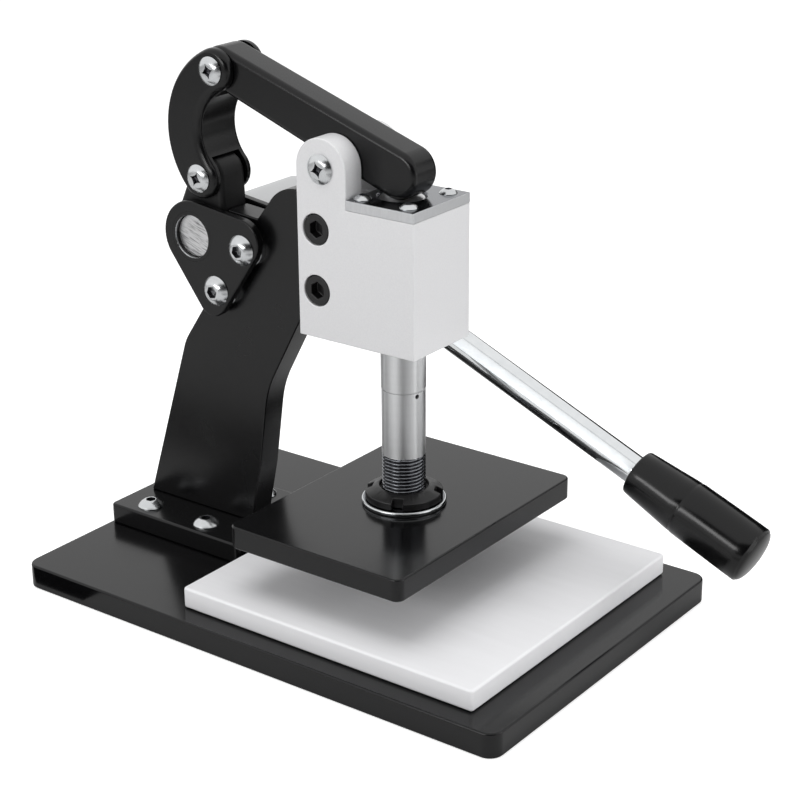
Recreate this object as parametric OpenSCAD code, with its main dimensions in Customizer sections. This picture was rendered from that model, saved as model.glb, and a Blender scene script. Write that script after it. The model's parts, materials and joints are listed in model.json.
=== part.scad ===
// Hand lever die cutting press: a toggle behind the column rocks a top lever that pushes a ram down.
// Millimetres. +X is the machine's right, -Y its front, +Z up. The origin is under the middle of the base.

/* [Base] */
// Width of the base plate
base_w = 210; // [180:1:260]
// Length of the base plate, front to rear
base_l = 318; // [310:1:360]
// Thickness of the base plate
base_t = 14; // [10:0.5:20]
// Radius of the base plate's corners
base_corner_r = 8; // [2:0.5:20]
// Width of the cutting board
board_w = 186; // [150:1:205]
// Length of the cutting board
board_l = 188; // [150:1:208]
// Thickness of the cutting board
board_t = 12; // [6:0.5:18]
// Radius of the cutting board's corners
board_corner_r = 2; // [0.5:0.5:10]
// Distance from the cutting board to the foot block
board_gap = 10; // [4:0.5:20]

/* [Foot and column] */
// Width of the foot block
foot_w = 74; // [66:1:110]
// Length of the foot block
foot_l = 98; // [94:1:99]
// Thickness of the foot block
foot_t = 12; // [8:0.5:16]
// Radius of the foot block's corners
foot_corner_r = 3; // [1:0.5:8]
// Distance from the base's rear edge to the foot block
foot_inset = 1; // [0.5:0.5:2]
// Thickness of the column plate
column_t = 16; // [12:0.5:18]
// Length of the column where it stands on the foot
column_root_l = 78; // [74:1:82]
// Distance from the foot's rear face to the column's root
column_inset = 6; // [4:0.5:10]
// Foot screw spacing across the foot
foot_screw_dx = 51; // [44:1:54]
// Foot screw spacing along the foot
foot_screw_dy = 43; // [38:1:60]

/* [Ram] */
// Distance from the foot's rear face to the ram's axis
ram_reach = 186.5; // [183:0.5:189]
// Diameter of the ram in its guide
ram_d = 24; // [23:0.5:25]
// Diameter of the ram's threaded end
thread_d = 23.5; // [18:0.5:24]
// Pitch of the ram's thread
thread_pitch = 1.6; // [1.2:0.1:2]
// Length of the ram's thread
thread_l = 38.5; // [34:0.5:48]
// Height of the ram's shoulder above the press plate
shoulder_h = 66; // [60:1:75]
// Diameter of the ram's cross hole
tommy_d = 2.5; // [2:0.5:5]
// Space for the die between the cutting board and the lowered press plate
die_gap = 25; // [20:0.5:30]

/* [Press plate] */
// Width of the press plate
press_w = 160; // [120:1:180]
// Length of the press plate
press_l = 112; // [90:1:130]
// Thickness of the press plate
press_t = 12.5; // [11.5:0.5:18]
// Radius of the press plate's corners
press_corner_r = 5; // [1:0.5:15]
// Depth of the press plate's threaded hole
press_bore_h = 10; // [9:0.5:10.5]
// Diameter of the lock nut
nut_d = 42; // [38:0.5:46]
// Height of the lock nut
nut_h = 7; // [5:0.5:9]
// Width of the lock nut's slots
nut_slot_w = 6; // [4:0.5:8]
// Depth of the lock nut's slots
nut_slot_h = 4; // [2:0.5:4]
// Diameter of the washer under the lock nut
washer_d = 46; // [44:0.5:54]
// Thickness of the washer under the lock nut
washer_t = 2.6; // [1.5:0.1:4]

/* [Housing] */
// Height of the housing's underside above the base plate
housing_rise = 142; // [138:1:146]
// Width of the housing
housing_w = 49; // [46:0.5:60]
// Height of the housing's block
housing_h = 72.5; // [70:0.5:78]
// Distance from the ram's axis to the housing's front face
housing_front = 25; // [23:0.5:30]
// Thickness of the steel top plate
top_plate_t = 5.4; // [4:0.2:7]
// Radius of the ears
ear_r = 16; // [14:0.5:17]
// Distance from the ram's axis back to the lever's pivot
pivot_setback = 33.5; // [33:0.5:36]
// Height of the lever's pivot above the housing's block
pivot_rise = 19; // [17.5:0.5:20.5]
// Diameter of the spring chamber
chamber_d = 33; // [33:0.5:34]
// Length of the guide bush
guide_l = 22; // [18:1:28]
// Wall of the guide bush
guide_wall = 2.5; // [2:0.5:3]

/* [Toggle] */
// Distance from the ram's axis back to the drive shaft
shaft_setback = 131.5; // [129:0.5:134]
// Height of the drive shaft above the base plate
shaft_rise = 178.7; // [177:0.1:180]
// Diameter of the drive shaft
shaft_d = 24; // [20:0.5:24]
// Diameter of the shaft's head, which holds the handle
shaft_head_d = 28; // [26:0.5:32]
// Forward lean of the toggle at its dead centre
toggle_lean = 11.1; // [9:0.1:13]
// Distance from the shaft to the crank's pin
crank_throw = 34.4; // [33.5:0.1:36]
// Radius of the crank's boss round the shaft
crank_boss_r = 19; // [18:0.5:19.5]
// Radius of the crank's end round its pin
crank_end_r = 11; // [9:0.5:11.5]
// Distance between the pins of the link
link_span = 61; // [59:0.1:63]
// Radius of the link's curved centre line
link_curve_r = 37.6; // [34:0.1:42]
// Width of the curved part of the link
link_w = 22; // [19:0.5:22.5]
// Radius of the link's eyes
link_eye_r = 12; // [11.2:0.1:12.2]
// Thickness of the cheeks at the link's forked ends
link_t = 5; // [4:0.5:6]
// Space between the crank's end and the bottom of the link's lower fork
fork_gap = 1.8; // [1:0.1:3]
// Diameter of the link's pins
link_pin_d = 8; // [7:0.5:9]
// Width of the lever
lever_w = 20.5; // [18:0.5:20.5]
// Width of the crank
crank_w = 21; // [19:0.5:21.5]
// Radius of the lever's tail
lever_tail_r = 11.2; // [11:0.1:12]
// Distance that the tail's round end lies above its pin
tail_lift = 0.8; // [0:0.1:1.5]
// Radius of the lever's nose
lever_nose_r = 13; // [12:0.5:14]
// Radius of the lever's boss round its pivot
lever_boss_r = 12; // [11:0.5:13]
// Distance that the nose's centre lies in front of the ram's axis
nose_lead = 2.5; // [0:0.5:4]
// Distance that the nose reaches below the top plate's upper face
nose_dip = 0.4; // [0:0.1:0.8]
// Diameter of the lever's pivot pin
lever_pin_d = 12; // [10:0.5:13]

/* [Bearing plates] */
// Thickness of the bearing plates
bearing_t = 5; // [4:0.5:7]
// Thickness of the spacers between bearing plates and column
spacer_t = 3.3; // [3:0.1:4]
// Diameter of the spacers
spacer_d = 20; // [16:0.5:20]
// Wall of the shaft bushes
bush_wall = 2; // [1.5:0.5:3]
// Depth of the shaft's left end inside its bearing plate
shaft_recess = 4; // [1:0.5:4.5]

/* [Handle] */
// Distance from the machine's middle to the handle rod
rod_x = 55; // [50:1:60]
// Angle of the lowered handle below level
handle_droop = 23; // [18:0.5:26]
// Diameter of the handle rod
rod_d = 16; // [14:0.5:18]
// Distance from the shaft's axis to the grip
rod_reach = 264; // [240:1:300]
// Length of the grip
grip_l = 78; // [72:1:110]
// Diameter of the grip's neck
grip_neck_d = 25.4; // [22:0.1:27]
// Largest diameter of the grip
grip_d = 31.8; // [28:0.1:36]
// Length of the shaft's head past the rod's axis
head_overhang = 20; // [18:1:26]

/* [Fits] */
// Radial clearance of parts that turn or slide in a hole
run_clear = 0.05; // [0.02:0.01:0.1]
// Radial clearance of parts that are pressed or screwed in
seat_clear = 0.02; // [0.01:0.01:0.04]
// Space between faces that move past each other
side_gap = 0.5; // [0.4:0.05:0.8]
// Space between the nose and the ram, and under the lock nut and the board
touch_gap = 0.3; // [0.3:0.05:0.5]
// Room for the upper pin to wander in the lever's tail
tail_float = 3.9; // [3.8:0.1:4.1]

/* [Hidden] */
$fn = 96;
eps = 0.01;

// Screws: thread diameter, head diameter, head height and hexagon width
M5 = [5, 9.5, 2.8, 3];
M6_GRUB = [6, 0, 0, 3];
M8 = [8, 15, 5, 5];
M10 = [10, 17, 5.2, 6];
M10_CAP = [10, 16, 10, 8];
TRUSS = [4, 15.4, 3.6, 0];
TRUSS_WIDE = [6, 16, 3.8, 0];

// Heights
base_top = base_t;
foot_top = base_top + foot_t;
board_top = base_top + touch_gap + board_t;
press_bottom = board_top + die_gap;
press_top = press_bottom + press_t;
washer_top = press_top + washer_t;
nut_bottom = washer_top + touch_gap;
housing_bottom = base_top + housing_rise;
housing_top = housing_bottom + housing_h;
top_plate_top = housing_top + top_plate_t;
chamber_floor = housing_bottom + guide_l;

// Points of the side view, as [Y, Z]
base_rear = base_l / 2;
foot_rear = base_rear - foot_inset;
foot_front = foot_rear - foot_l;
ram_y = foot_rear - ram_reach;
SHAFT = [ram_y + shaft_setback, base_top + shaft_rise];
PIVOT = [ram_y + pivot_setback, housing_top + pivot_rise];
toggle_way = [-sin(toggle_lean), cos(toggle_lean)];
CRANK_PIN = SHAFT + crank_throw * toggle_way;
TAIL_PIN = SHAFT + (crank_throw + link_span) * toggle_way;
NOSE = [ram_y - nose_lead, top_plate_top - nose_dip + lever_nose_r];
TAIL = TAIL_PIN + [0, tail_lift];
ear_front = PIVOT.x - ear_r;
housing_rear = PIVOT.x + ear_r;
housing_front_y = ram_y - housing_front;

// Layers of the toggle, measured outwards from the machine's middle
link_in = max(crank_w, lever_w) / 2 + side_gap;
link_out = link_in + link_t;
crank_fork = crank_end_r + fork_gap;
lever_fork = lever_tail_r + tail_float;
bearing_in = column_t / 2 + spacer_t;
bearing_out = bearing_in + bearing_t;

// Ram and spring
ram_top = NOSE.y - lever_nose_r - touch_gap;
ram_bottom = press_top - press_bore_h + touch_gap;
shoulder_z = press_top + shoulder_h;
ram_travel = 9;
collar_t = 5;
collar_wall_gap = 0.5;
collar_d = chamber_d - 2 * collar_wall_gap;
ring_t = 1.5;
ring_groove = 0.8;
ring_wall = 2.6;
collar_top = housing_top - ram_travel - ring_t - side_gap;
collar_bottom = collar_top - collar_t;
wire_d = 1.8;
coil_turns = 7;
coil_rings = 8;
coil_r = (ram_d + chamber_d) / 2 / (1 + cos(180 / coil_rings));
coil_sides = 6;
coil_low = chamber_floor + touch_gap + wire_d / 2;
coil_high = collar_bottom - touch_gap - wire_d / 2;

// Base and foot
board_mid = foot_front - board_gap - board_l / 2;
foot_mid = foot_rear - foot_l / 2;
foot_hole_h = 10;
foot_screw_shift = 6;
foot_screw_mid = foot_mid + foot_screw_shift;

// Column outline
column_rear = foot_rear - column_inset;
column_front = column_rear - column_root_l;
slot_depth = 26.5;
slot_end = housing_rear - slot_depth;
head_lift = 1;
head_under = housing_bottom + head_lift;
head_top = housing_top - touch_gap;
boss_room = crank_boss_r + 2 * touch_gap;
front_screw_lead = 35.6;
front_screw_drop = 1.5;
low_screw_lead = 16.4;
low_screw_drop = 28;
BEARING_SCREWS = [SHAFT - [front_screw_lead, front_screw_drop], SHAFT - [low_screw_lead, low_screw_drop]];
bearing_rear_r = 20;
front_lobe_lead = 34.3;
front_lobe_rise = 2.6;
front_lobe_r = 13;
low_lobe_lead = 12.6;
low_lobe_drop = 33.5;
low_lobe_r = 10;
bearing_shape = [
    concat(SHAFT, bearing_rear_r),
    concat(SHAFT + [-front_lobe_lead, front_lobe_rise], front_lobe_r),
    concat(SHAFT - [low_lobe_lead, low_lobe_drop], low_lobe_r)
];
rear_lobe_r = 17;
shoulder_r = 21.5;
shoulder_back = 15;
valley_back = 26.5;
valley_rise = 1;
ledge_rise = 18.5;
SHOULDER = [housing_rear + shoulder_back, head_top - shoulder_r];
VALLEY = SHOULDER + [valley_back, valley_rise];
LEDGE = [SHAFT.x, SHAFT.y + ledge_rise];
front_knee_back = 38.5;
front_knee_drop = 46;
flare_lead = 7.5;
flare_rise = 36;
rear_knee_back = 16.5;
rear_knee_drop = 65.7;
rear_top_back = 2;
rear_top_drop = 44.2;
heel_back = 13;
FRONT_KNEE = [housing_rear + front_knee_back, housing_bottom - front_knee_drop];
FRONT_FLARE = [column_front - flare_lead, foot_top + flare_rise];
REAR_KNEE = SHAFT + [rear_knee_back, -rear_knee_drop];
REAR_TOP = SHAFT + [rear_top_back, -rear_top_drop];
HEAD_HEEL = [housing_rear + heel_back, head_under];
ROOT_REAR = [column_rear, foot_top];
ROOT_FRONT = [column_front, foot_top];
rear_knee_r = 30;
front_knee_r = 60;
shoulder_turn = 32;
bend_steps = 8;
bolt_back = 4;
low_bolt_rise = 26;
high_bolt_rise = 59;
BOLTS = [for (rise = [low_bolt_rise, high_bolt_rise]) [PIVOT.x + bolt_back, housing_bottom + rise]];

// Small features
socket_h = 2.4;
cap_socket_h = 5;
cap_hole_gap = 0.5;
foot_drill_gap = 0.25;
top_screw_side = 7.5;
top_screw_front = 8.4;
top_screw_rear = 5.2;
top_screw_l = 14;
screw_grip = 12;
plate_hole_clear = 0.5;
plate_hole_d = ram_d + 2 * plate_hole_clear;
key_w = 8;
key_h = 7;
key_depth = 4;
edge = 1;
spot_gap = 0.5;
rod_spigot_d = 12;
rod_spigot_l = 20;
rod_seat_h = 1.5;
rod_seat = shaft_head_d / 2 - rod_seat_h;
grip_bore_l = 66;
grip_crease = 32;
grip_flare = 0.6;
grip_dome = 3.5;
head_end = rod_x + head_overhang;
grub_l = 12;
cross_w = 1.3;
cross_l = 6;
cross_h = 1.6;
truss_grip = 8;
nut_chamfer = 3.2;
nut_land = 2.2;
nut_bore_chamfer = 1.4;
slot_turn = 26;
thread_h = 1;
tommy_land = 1.2;
tommy_turn = 16;
slot_count = 4;

// Colours
black_coat = "#26272a";
dark_coat = "#1b1c1f";
pale_grey = "#d9d9da";
bright_steel = "#c6c9cc";
board_white = "#f4f5f5";
bronze = "#b08d57";

// A plate with a side view outline, from x to x + t
module slab(x, t) {
    translate([x, 0, 0]) rotate([90, 0, 90]) linear_extrude(t) children();
}

// A round bar or hole along X, from x to x + l, at a point of the side view
module bar(p, d, x, l) {
    translate([x, p.x, p.y]) rotate([0, 90, 0]) cylinder(d = d, h = l);
}

// Puts children, drawn along +Z, on a side face: side is 1 for right, -1 for left
module on_side(p, x, side) {
    translate([side * x, p.x, p.y]) rotate([0, side * 90, 0]) children();
}

// A block with rounded upright corners, standing on z
module rounded_block(w, l, t, r, y, z) {
    translate([0, y, z]) linear_extrude(t) {
        square([w - 2 * r, l], center = true);
        square([w, l - 2 * r], center = true);
        for (sx = [-1, 1], sy = [-1, 1])
            translate([sx * (w / 2 - r), sy * (l / 2 - r)]) circle(r);
    }
}

// Angle and outer normal of the line that touches two circles [x, y, r], on the right of the way from a to b
function way(a, b) = atan2(b.y - a.y, b.x - a.x);
function touch_angle(a, b) = way(a, b) - acos((a.z - b.z) / norm([b.x - a.x, b.y - a.y]));
function on_circle(c, angle) = [c.x + c.z * cos(angle), c.y + c.z * sin(angle)];

// Outline that a belt round the circles would have, circles listed anticlockwise
module belt(circles) {
    n = len(circles);
    polygon([for (i = [0:n - 1], end = [0, 1])
        let (a = circles[i], b = circles[(i + 1) % n])
        on_circle(end == 0 ? a : b, touch_angle(a, b))]);
    for (c = circles)
        translate([c.x, c.y]) circle(c.z);
}

// Domed head on z = 0
module dome(d, h) {
    ball_r = (d * d / 4 + h * h) / (2 * h);
    intersection() {
        cylinder(d = d, h = h);
        translate([0, 0, h - ball_r]) sphere(ball_r);
    }
}

// Button head screw, head above z = 0, shank below
module button_screw(m, l) {
    difference() {
        union() {
            dome(m[1], m[2]);
            translate([0, 0, -l]) cylinder(d = m[0], h = l);
        }
        translate([0, 0, m[2] - socket_h]) cylinder(d = m[3] / cos(30), h = socket_h + eps, $fn = 6);
    }
}

// Truss head screw with a cross recess
module truss_screw(m, l) {
    difference() {
        union() {
            dome(m[1], m[2]);
            translate([0, 0, -l]) cylinder(d = m[0], h = l);
        }
        for (turn = [0, 90])
            rotate(turn) translate([-cross_l / 2, -cross_w / 2, m[2] - cross_h])
                cube([cross_l, cross_w, cross_h + eps]);
    }
}

// Headless set screw, its socket at z = 0, shank below
module grub_screw(m, l) {
    difference() {
        translate([0, 0, -l]) cylinder(d = m[0], h = l);
        translate([0, 0, -socket_h]) cylinder(d = m[3] / cos(30), h = socket_h + eps, $fn = 6);
    }
}

// Places of the foot screws
module at_foot_screws() {
    for (sx = [-1, 1], sy = [-1, 1])
        translate([sx * foot_screw_dx / 2, foot_screw_mid + sy * foot_screw_dy / 2, foot_top]) children();
}

// Places of the top plate's screws
module at_top_screws() {
    for (sx = [-1, 1], y = [housing_front_y + top_screw_front, ear_front - top_screw_rear])
        translate([sx * (housing_w / 2 - top_screw_side), y, top_plate_top]) children();
}

module base_plate() {
    color(black_coat) difference() {
        rounded_block(base_w, base_l, base_t, base_corner_r, 0, 0);
        at_foot_screws() translate([0, 0, -foot_t - foot_hole_h])
            cylinder(d = M8[0] + 2 * seat_clear, h = foot_hole_h + eps);
    }
}

module cutting_board() {
    color(board_white)
        rounded_block(board_w, board_l, board_t, board_corner_r, board_mid, board_top - board_t);
}

module column_foot() {
    color(black_coat) difference() {
        rounded_block(foot_w, foot_l, foot_t, foot_corner_r, foot_mid, base_top);
        at_foot_screws() translate([0, 0, -foot_t - eps])
            cylinder(d = M8[0] + 2 * foot_drill_gap, h = foot_t + 2 * eps);
    }
}

module foot_screws() {
    color(bright_steel) at_foot_screws() button_screw(M8, foot_t + foot_hole_h - side_gap);
}

// Points of an arc of radius r that rounds the corner b between a and c
function bend(a, b, c, r) = let (
    u = (a - b) / norm(a - b), v = (c - b) / norm(c - b),
    half = acos(u * v) / 2, mid = (u + v) / norm(u + v),
    centre = b + mid * r / sin(half), first = b + u * r / tan(half) - centre,
    side = sign(u.x * v.y - u.y * v.x)
) [for (i = [0:bend_steps]) let (turn = -side * (180 - 2 * half) * i / bend_steps)
    centre + [first.x * cos(turn) - first.y * sin(turn), first.x * sin(turn) + first.y * cos(turn)]];

module column_outline() {
    difference() {
        union() {
            polygon([
                ROOT_REAR, each bend(ROOT_REAR, REAR_KNEE, REAR_TOP, rear_knee_r), REAR_TOP,
                SHAFT, LEDGE, VALLEY, SHOULDER + shoulder_r * [cos(shoulder_turn), sin(shoulder_turn)],
                [SHOULDER.x, head_top], [slot_end, head_top], [slot_end, head_under], HEAD_HEEL,
                each bend(HEAD_HEEL, FRONT_KNEE, FRONT_FLARE, front_knee_r),
                each bend(FRONT_KNEE, FRONT_FLARE, ROOT_FRONT, front_knee_r), ROOT_FRONT
            ]);
            translate(SHOULDER) circle(shoulder_r);
            translate(BEARING_SCREWS[1]) circle(rear_lobe_r);
        }
        translate(SHAFT) circle(boss_room);
        translate([SHAFT.x - boss_room, SHAFT.y]) square(4 * boss_room);
    }
}

module column() {
    color(black_coat) difference() {
        slab(-column_t / 2, column_t) column_outline();
        for (p = BOLTS)
            bar(p, M10_CAP[0] + 2 * seat_clear, -column_t, 2 * column_t);
        for (p = BEARING_SCREWS)
            bar(p, M10[0] + 2 * seat_clear, -column_t, 2 * column_t);
    }
}

// Side view of the housing: block and ears
module housing_outline() {
    translate([housing_front_y, housing_bottom]) square([housing_rear - housing_front_y, housing_h]);
    translate([ear_front, housing_top]) square([2 * ear_r, pivot_rise]);
    translate(PIVOT) circle(ear_r);
}

module ram_housing() {
    lever_slot = lever_w + 2 * side_gap;
    column_slot = column_t + 2 * seat_clear;
    color(pale_grey) difference() {
        slab(-housing_w / 2, housing_w) housing_outline();
        translate([-lever_slot / 2, housing_front_y, housing_top])
            cube([lever_slot, housing_w + base_l, base_l]);
        translate([-column_slot / 2, slot_end - seat_clear, housing_bottom - eps])
            cube([column_slot, base_l, housing_h + 2 * eps]);
        translate([0, ram_y, housing_bottom - eps])
            cylinder(d = ram_d + 2 * (run_clear + guide_wall + seat_clear), h = guide_l + 2 * eps);
        translate([0, ram_y, chamber_floor]) cylinder(d = chamber_d, h = housing_h);
        for (p = BOLTS) {
            bar(p, M10_CAP[0] + 2 * seat_clear, -housing_w, 1.5 * housing_w - screw_grip / 2);
            bar(p, M10_CAP[1] + 2 * cap_hole_gap, -housing_w, housing_w / 2 + M10_CAP[2] + cap_hole_gap);
        }
        bar(PIVOT, lever_pin_d + 2 * seat_clear, -housing_w, 2 * housing_w);
        at_top_screws() translate([0, 0, -top_screw_l])
            cylinder(d = M5[0] + 2 * seat_clear, h = top_screw_l + eps);
    }
}

module housing_bolts() {
    shank_l = housing_w - M10_CAP[2] - cap_hole_gap - screw_grip / 2 - side_gap;
    color(dark_coat) for (p = BOLTS)
        on_side(p, housing_w / 2 - cap_hole_gap, -1) difference() {
            union() {
                translate([0, 0, -M10_CAP[2]]) cylinder(d = M10_CAP[1], h = M10_CAP[2]);
                translate([0, 0, -M10_CAP[2] - shank_l]) cylinder(d = M10_CAP[0], h = shank_l + eps);
            }
            translate([0, 0, -cap_socket_h])
                cylinder(d = M10_CAP[3] / cos(30), h = cap_socket_h + eps, $fn = 6);
        }
}

module top_plate() {
    plate_l = ear_front - housing_front_y;
    color(bright_steel) difference() {
        translate([-housing_w / 2, housing_front_y, housing_top]) cube([housing_w, plate_l, top_plate_t]);
        translate([0, ram_y, housing_top - eps]) cylinder(d = plate_hole_d, h = top_plate_t + 2 * eps);
        translate([0, ram_y, top_plate_top - edge])
            cylinder(d1 = plate_hole_d, d2 = plate_hole_d + 2 * edge + eps, h = edge + eps);
        at_top_screws() translate([0, 0, -top_plate_t - eps])
            cylinder(d = M5[0] + 2 * foot_drill_gap, h = top_plate_t + 2 * eps);
    }
}

module top_plate_screws() {
    color(bright_steel) at_top_screws() button_screw(M5, top_screw_l - side_gap);
}

module guide_bush() {
    color(bronze) translate([0, ram_y, housing_bottom]) difference() {
        cylinder(d = ram_d + 2 * (run_clear + guide_wall), h = guide_l);
        translate([0, 0, -eps]) cylinder(d = ram_d + 2 * run_clear, h = guide_l + 2 * eps);
    }
}

module bearing_plate(x) {
    color(black_coat) difference() {
        slab(x, bearing_t) belt(bearing_shape);
        bar(SHAFT, shaft_d + 2 * (run_clear + bush_wall + seat_clear), x - eps, bearing_t + 2 * eps);
        for (p = BEARING_SCREWS)
            bar(p, M10[0] + 2 * foot_drill_gap, x - eps, bearing_t + 2 * eps);
    }
}

module left_bearing_plate() {
    bearing_plate(-bearing_out);
}

module right_bearing_plate() {
    bearing_plate(bearing_in);
}

module plate_spacers() {
    color(bright_steel) for (p = BEARING_SCREWS, x = [-bearing_in, column_t / 2])
        difference() {
            bar(p, spacer_d, x, spacer_t);
            bar(p, M10[0] + 2 * foot_drill_gap, x - eps, spacer_t + 2 * eps);
        }
}

module plate_screws() {
    color(bright_steel) for (p = BEARING_SCREWS, side = [-1, 1])
        on_side(p, bearing_out, side) button_screw(M10, bearing_out - side_gap);
}

module shaft_bush(x) {
    color(bright_steel) difference() {
        bar(SHAFT, shaft_d + 2 * (run_clear + bush_wall), x, bearing_t);
        bar(SHAFT, shaft_d + 2 * run_clear, x - eps, bearing_t + 2 * eps);
    }
}

module left_shaft_bush() {
    shaft_bush(-bearing_out);
}

module right_shaft_bush() {
    shaft_bush(bearing_in);
}

// Pin with a tapped hole in each end, centred on the machine's middle
module tapped_pin(p, d, l, m) {
    color(bright_steel) difference() {
        bar(p, d, -l / 2, l);
        for (side = [-1, 1])
            on_side(p, l / 2, side) translate([0, 0, -screw_grip])
                cylinder(d = m[0] + 2 * seat_clear, h = screw_grip + eps);
    }
}

module lever_pin() {
    tapped_pin(PIVOT, lever_pin_d, housing_w - 2 * side_gap, TRUSS_WIDE);
}

module lever_pin_screws() {
    color(bright_steel) for (side = [-1, 1])
        on_side(PIVOT, housing_w / 2, side) truss_screw(TRUSS_WIDE, screw_grip);
}

module drive_shaft() {
    neck = bearing_out + side_gap;
    color(bright_steel) difference() {
        union() {
            bar(SHAFT, shaft_d, shaft_recess - bearing_out, bearing_out - shaft_recess + neck);
            bar(SHAFT, shaft_head_d, neck, head_end - neck);
        }
        along_handle() translate([0, 0, rod_seat - rod_spigot_l])
            cylinder(d = rod_spigot_d + 2 * seat_clear, h = shaft_head_d);
        along_handle() translate([0, 0, rod_seat]) cylinder(d = rod_d + 2 * spot_gap, h = shaft_head_d);
        bar(SHAFT, M6_GRUB[0] + 2 * seat_clear, rod_x, head_overhang + eps);
        key_place() translate([-crank_w / 2, -key_w / 2, shaft_d / 2 - key_depth])
            cube([crank_w, key_w, key_h]);
    }
}

// Frame whose +Z runs along the handle rod, away from the shaft
module along_handle() {
    translate([rod_x, SHAFT.x, SHAFT.y]) rotate([90 + handle_droop, 0, 0]) children();
}

// Frame whose +Z points at the key, away from the crank's pin
module key_place() {
    translate([0, SHAFT.x, SHAFT.y]) rotate([180 + toggle_lean, 0, 0]) children();
}

// Frame whose +Z points to the rear, from the shaft's axis
module grub_place() {
    translate([0, SHAFT.x, SHAFT.y]) rotate([-90, 0, 0]) children();
}

module crank() {
    color(black_coat) difference() {
        slab(-crank_w / 2, crank_w) belt([concat(SHAFT, crank_boss_r), concat(CRANK_PIN, crank_end_r)]);
        bar(SHAFT, shaft_d + 2 * seat_clear, -crank_w, 2 * crank_w);
        bar(CRANK_PIN, link_pin_d + 2 * run_clear, -crank_w, 2 * crank_w);
        key_place() translate([-crank_w, -key_w / 2, shaft_d / 2 - key_depth])
            cube([2 * crank_w, key_w, key_h]);
        grub_place() cylinder(d = M6_GRUB[0] + 2 * seat_clear, h = 2 * crank_boss_r);
    }
}

module crank_key() {
    color(bright_steel) key_place()
        translate([-crank_w / 2, -key_w / 2 + seat_clear, shaft_d / 2 - key_depth + seat_clear])
            cube([crank_w, key_w - 2 * seat_clear, key_h - 2 * seat_clear]);
}

module crank_setscrew() {
    grip_l = crank_boss_r - shaft_d / 2 - side_gap;
    color(dark_coat) grub_place()
        translate([0, 0, shaft_d / 2 + seat_clear + grip_l]) grub_screw(M6_GRUB, grip_l);
}

module handle_rod() {
    color(bright_steel) along_handle() {
        translate([0, 0, rod_seat]) cylinder(d = rod_d, h = rod_reach + grip_bore_l - rod_seat - side_gap);
        translate([0, 0, rod_seat - rod_spigot_l + side_gap])
            cylinder(d = rod_spigot_d, h = rod_spigot_l - side_gap + eps);
    }
}

module rod_setscrew() {
    tip = rod_x + rod_spigot_d / 2 + seat_clear;
    color(dark_coat) translate([tip + grub_l, SHAFT.x, SHAFT.y]) rotate([0, 90, 0])
        grub_screw(M6_GRUB, grub_l);
}

module handle_grip() {
    r = grip_d / 2;
    neck = grip_neck_d / 2;
    color(dark_coat) along_handle() translate([0, 0, rod_reach]) difference() {
        rotate_extrude() {
            polygon([
                [0, 0], [neck - edge, 0], [neck, edge], [r - grip_flare, grip_crease],
                [r, grip_l - grip_dome], [0, grip_l - grip_dome]
            ]);
            intersection() {
                translate([0, grip_l - grip_dome]) scale([r / grip_dome, 1]) circle(grip_dome);
                translate([0, grip_l - grip_dome - eps]) square([r, grip_dome + eps]);
            }
        }
        translate([0, 0, -eps]) cylinder(d = rod_d + 2 * seat_clear, h = grip_bore_l + eps);
    }
}

// Centre of the link's curve, in front of its pins
link_mid = (CRANK_PIN + TAIL_PIN) / 2;
link_centre = link_mid - sqrt(pow(link_curve_r, 2) - pow(link_span / 2, 2)) * [toggle_way.y, -toggle_way.x];

module link_outline() {
    reach = 2 * (link_curve_r + link_w) / link_curve_r;
    rear = link_centre + 3 * link_curve_r * [toggle_way.y, -toggle_way.x];
    intersection() {
        difference() {
            translate(link_centre) circle(link_curve_r + link_w / 2);
            translate(link_centre) circle(link_curve_r - link_w / 2);
        }
        polygon([
            link_centre, link_centre + reach * (CRANK_PIN - link_centre), rear,
            link_centre + reach * (TAIL_PIN - link_centre)
        ]);
    }
    for (p = [CRANK_PIN, TAIL_PIN])
        translate(p) circle(link_eye_r);
}

// Space between the cheeks at a pin, from one height to another along the toggle
module fork_room(p, low, high) {
    translate(p) rotate(toggle_lean) translate([-2 * link_w, low]) square([4 * link_w, high - low]);
}

module toggle_link() {
    color(black_coat) difference() {
        slab(-link_out, 2 * link_out) link_outline();
        slab(-link_in, 2 * link_in) {
            fork_room(CRANK_PIN, -2 * link_eye_r, crank_fork);
            fork_room(TAIL_PIN, -lever_fork, 2 * link_eye_r);
        }
        for (p = [CRANK_PIN, TAIL_PIN])
            bar(p, link_pin_d + 2 * seat_clear, -2 * link_out, 4 * link_out);
    }
}

module lower_link_pin() {
    tapped_pin(CRANK_PIN, link_pin_d, 2 * (link_out - touch_gap), TRUSS);
}

module upper_link_pin() {
    tapped_pin(TAIL_PIN, link_pin_d, 2 * (link_out - touch_gap), TRUSS);
}

module link_pin_screws() {
    color(bright_steel) for (p = [CRANK_PIN, TAIL_PIN], side = [-1, 1])
        on_side(p, link_out, side) truss_screw(TRUSS, truss_grip);
}

module top_lever() {
    color(black_coat) difference() {
        slab(-lever_w / 2, lever_w) {
            belt([concat(NOSE, lever_nose_r), concat(TAIL, lever_tail_r)]);
            translate(PIVOT) circle(lever_boss_r);
        }
        bar(PIVOT, lever_pin_d + 2 * run_clear, -lever_w, 2 * lever_w);
        bar(TAIL_PIN, link_pin_d + 2 * tail_float, -lever_w, 2 * lever_w);
    }
}

// Ridges of the thread, from the ram's end up, as radius and height
function thread_profile(n) = [for (i = [0:n - 1], half = [0, 1])
    [thread_d / 2 - thread_h * half, ram_bottom + edge + thread_pitch * (i + half / 2)]];

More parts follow.
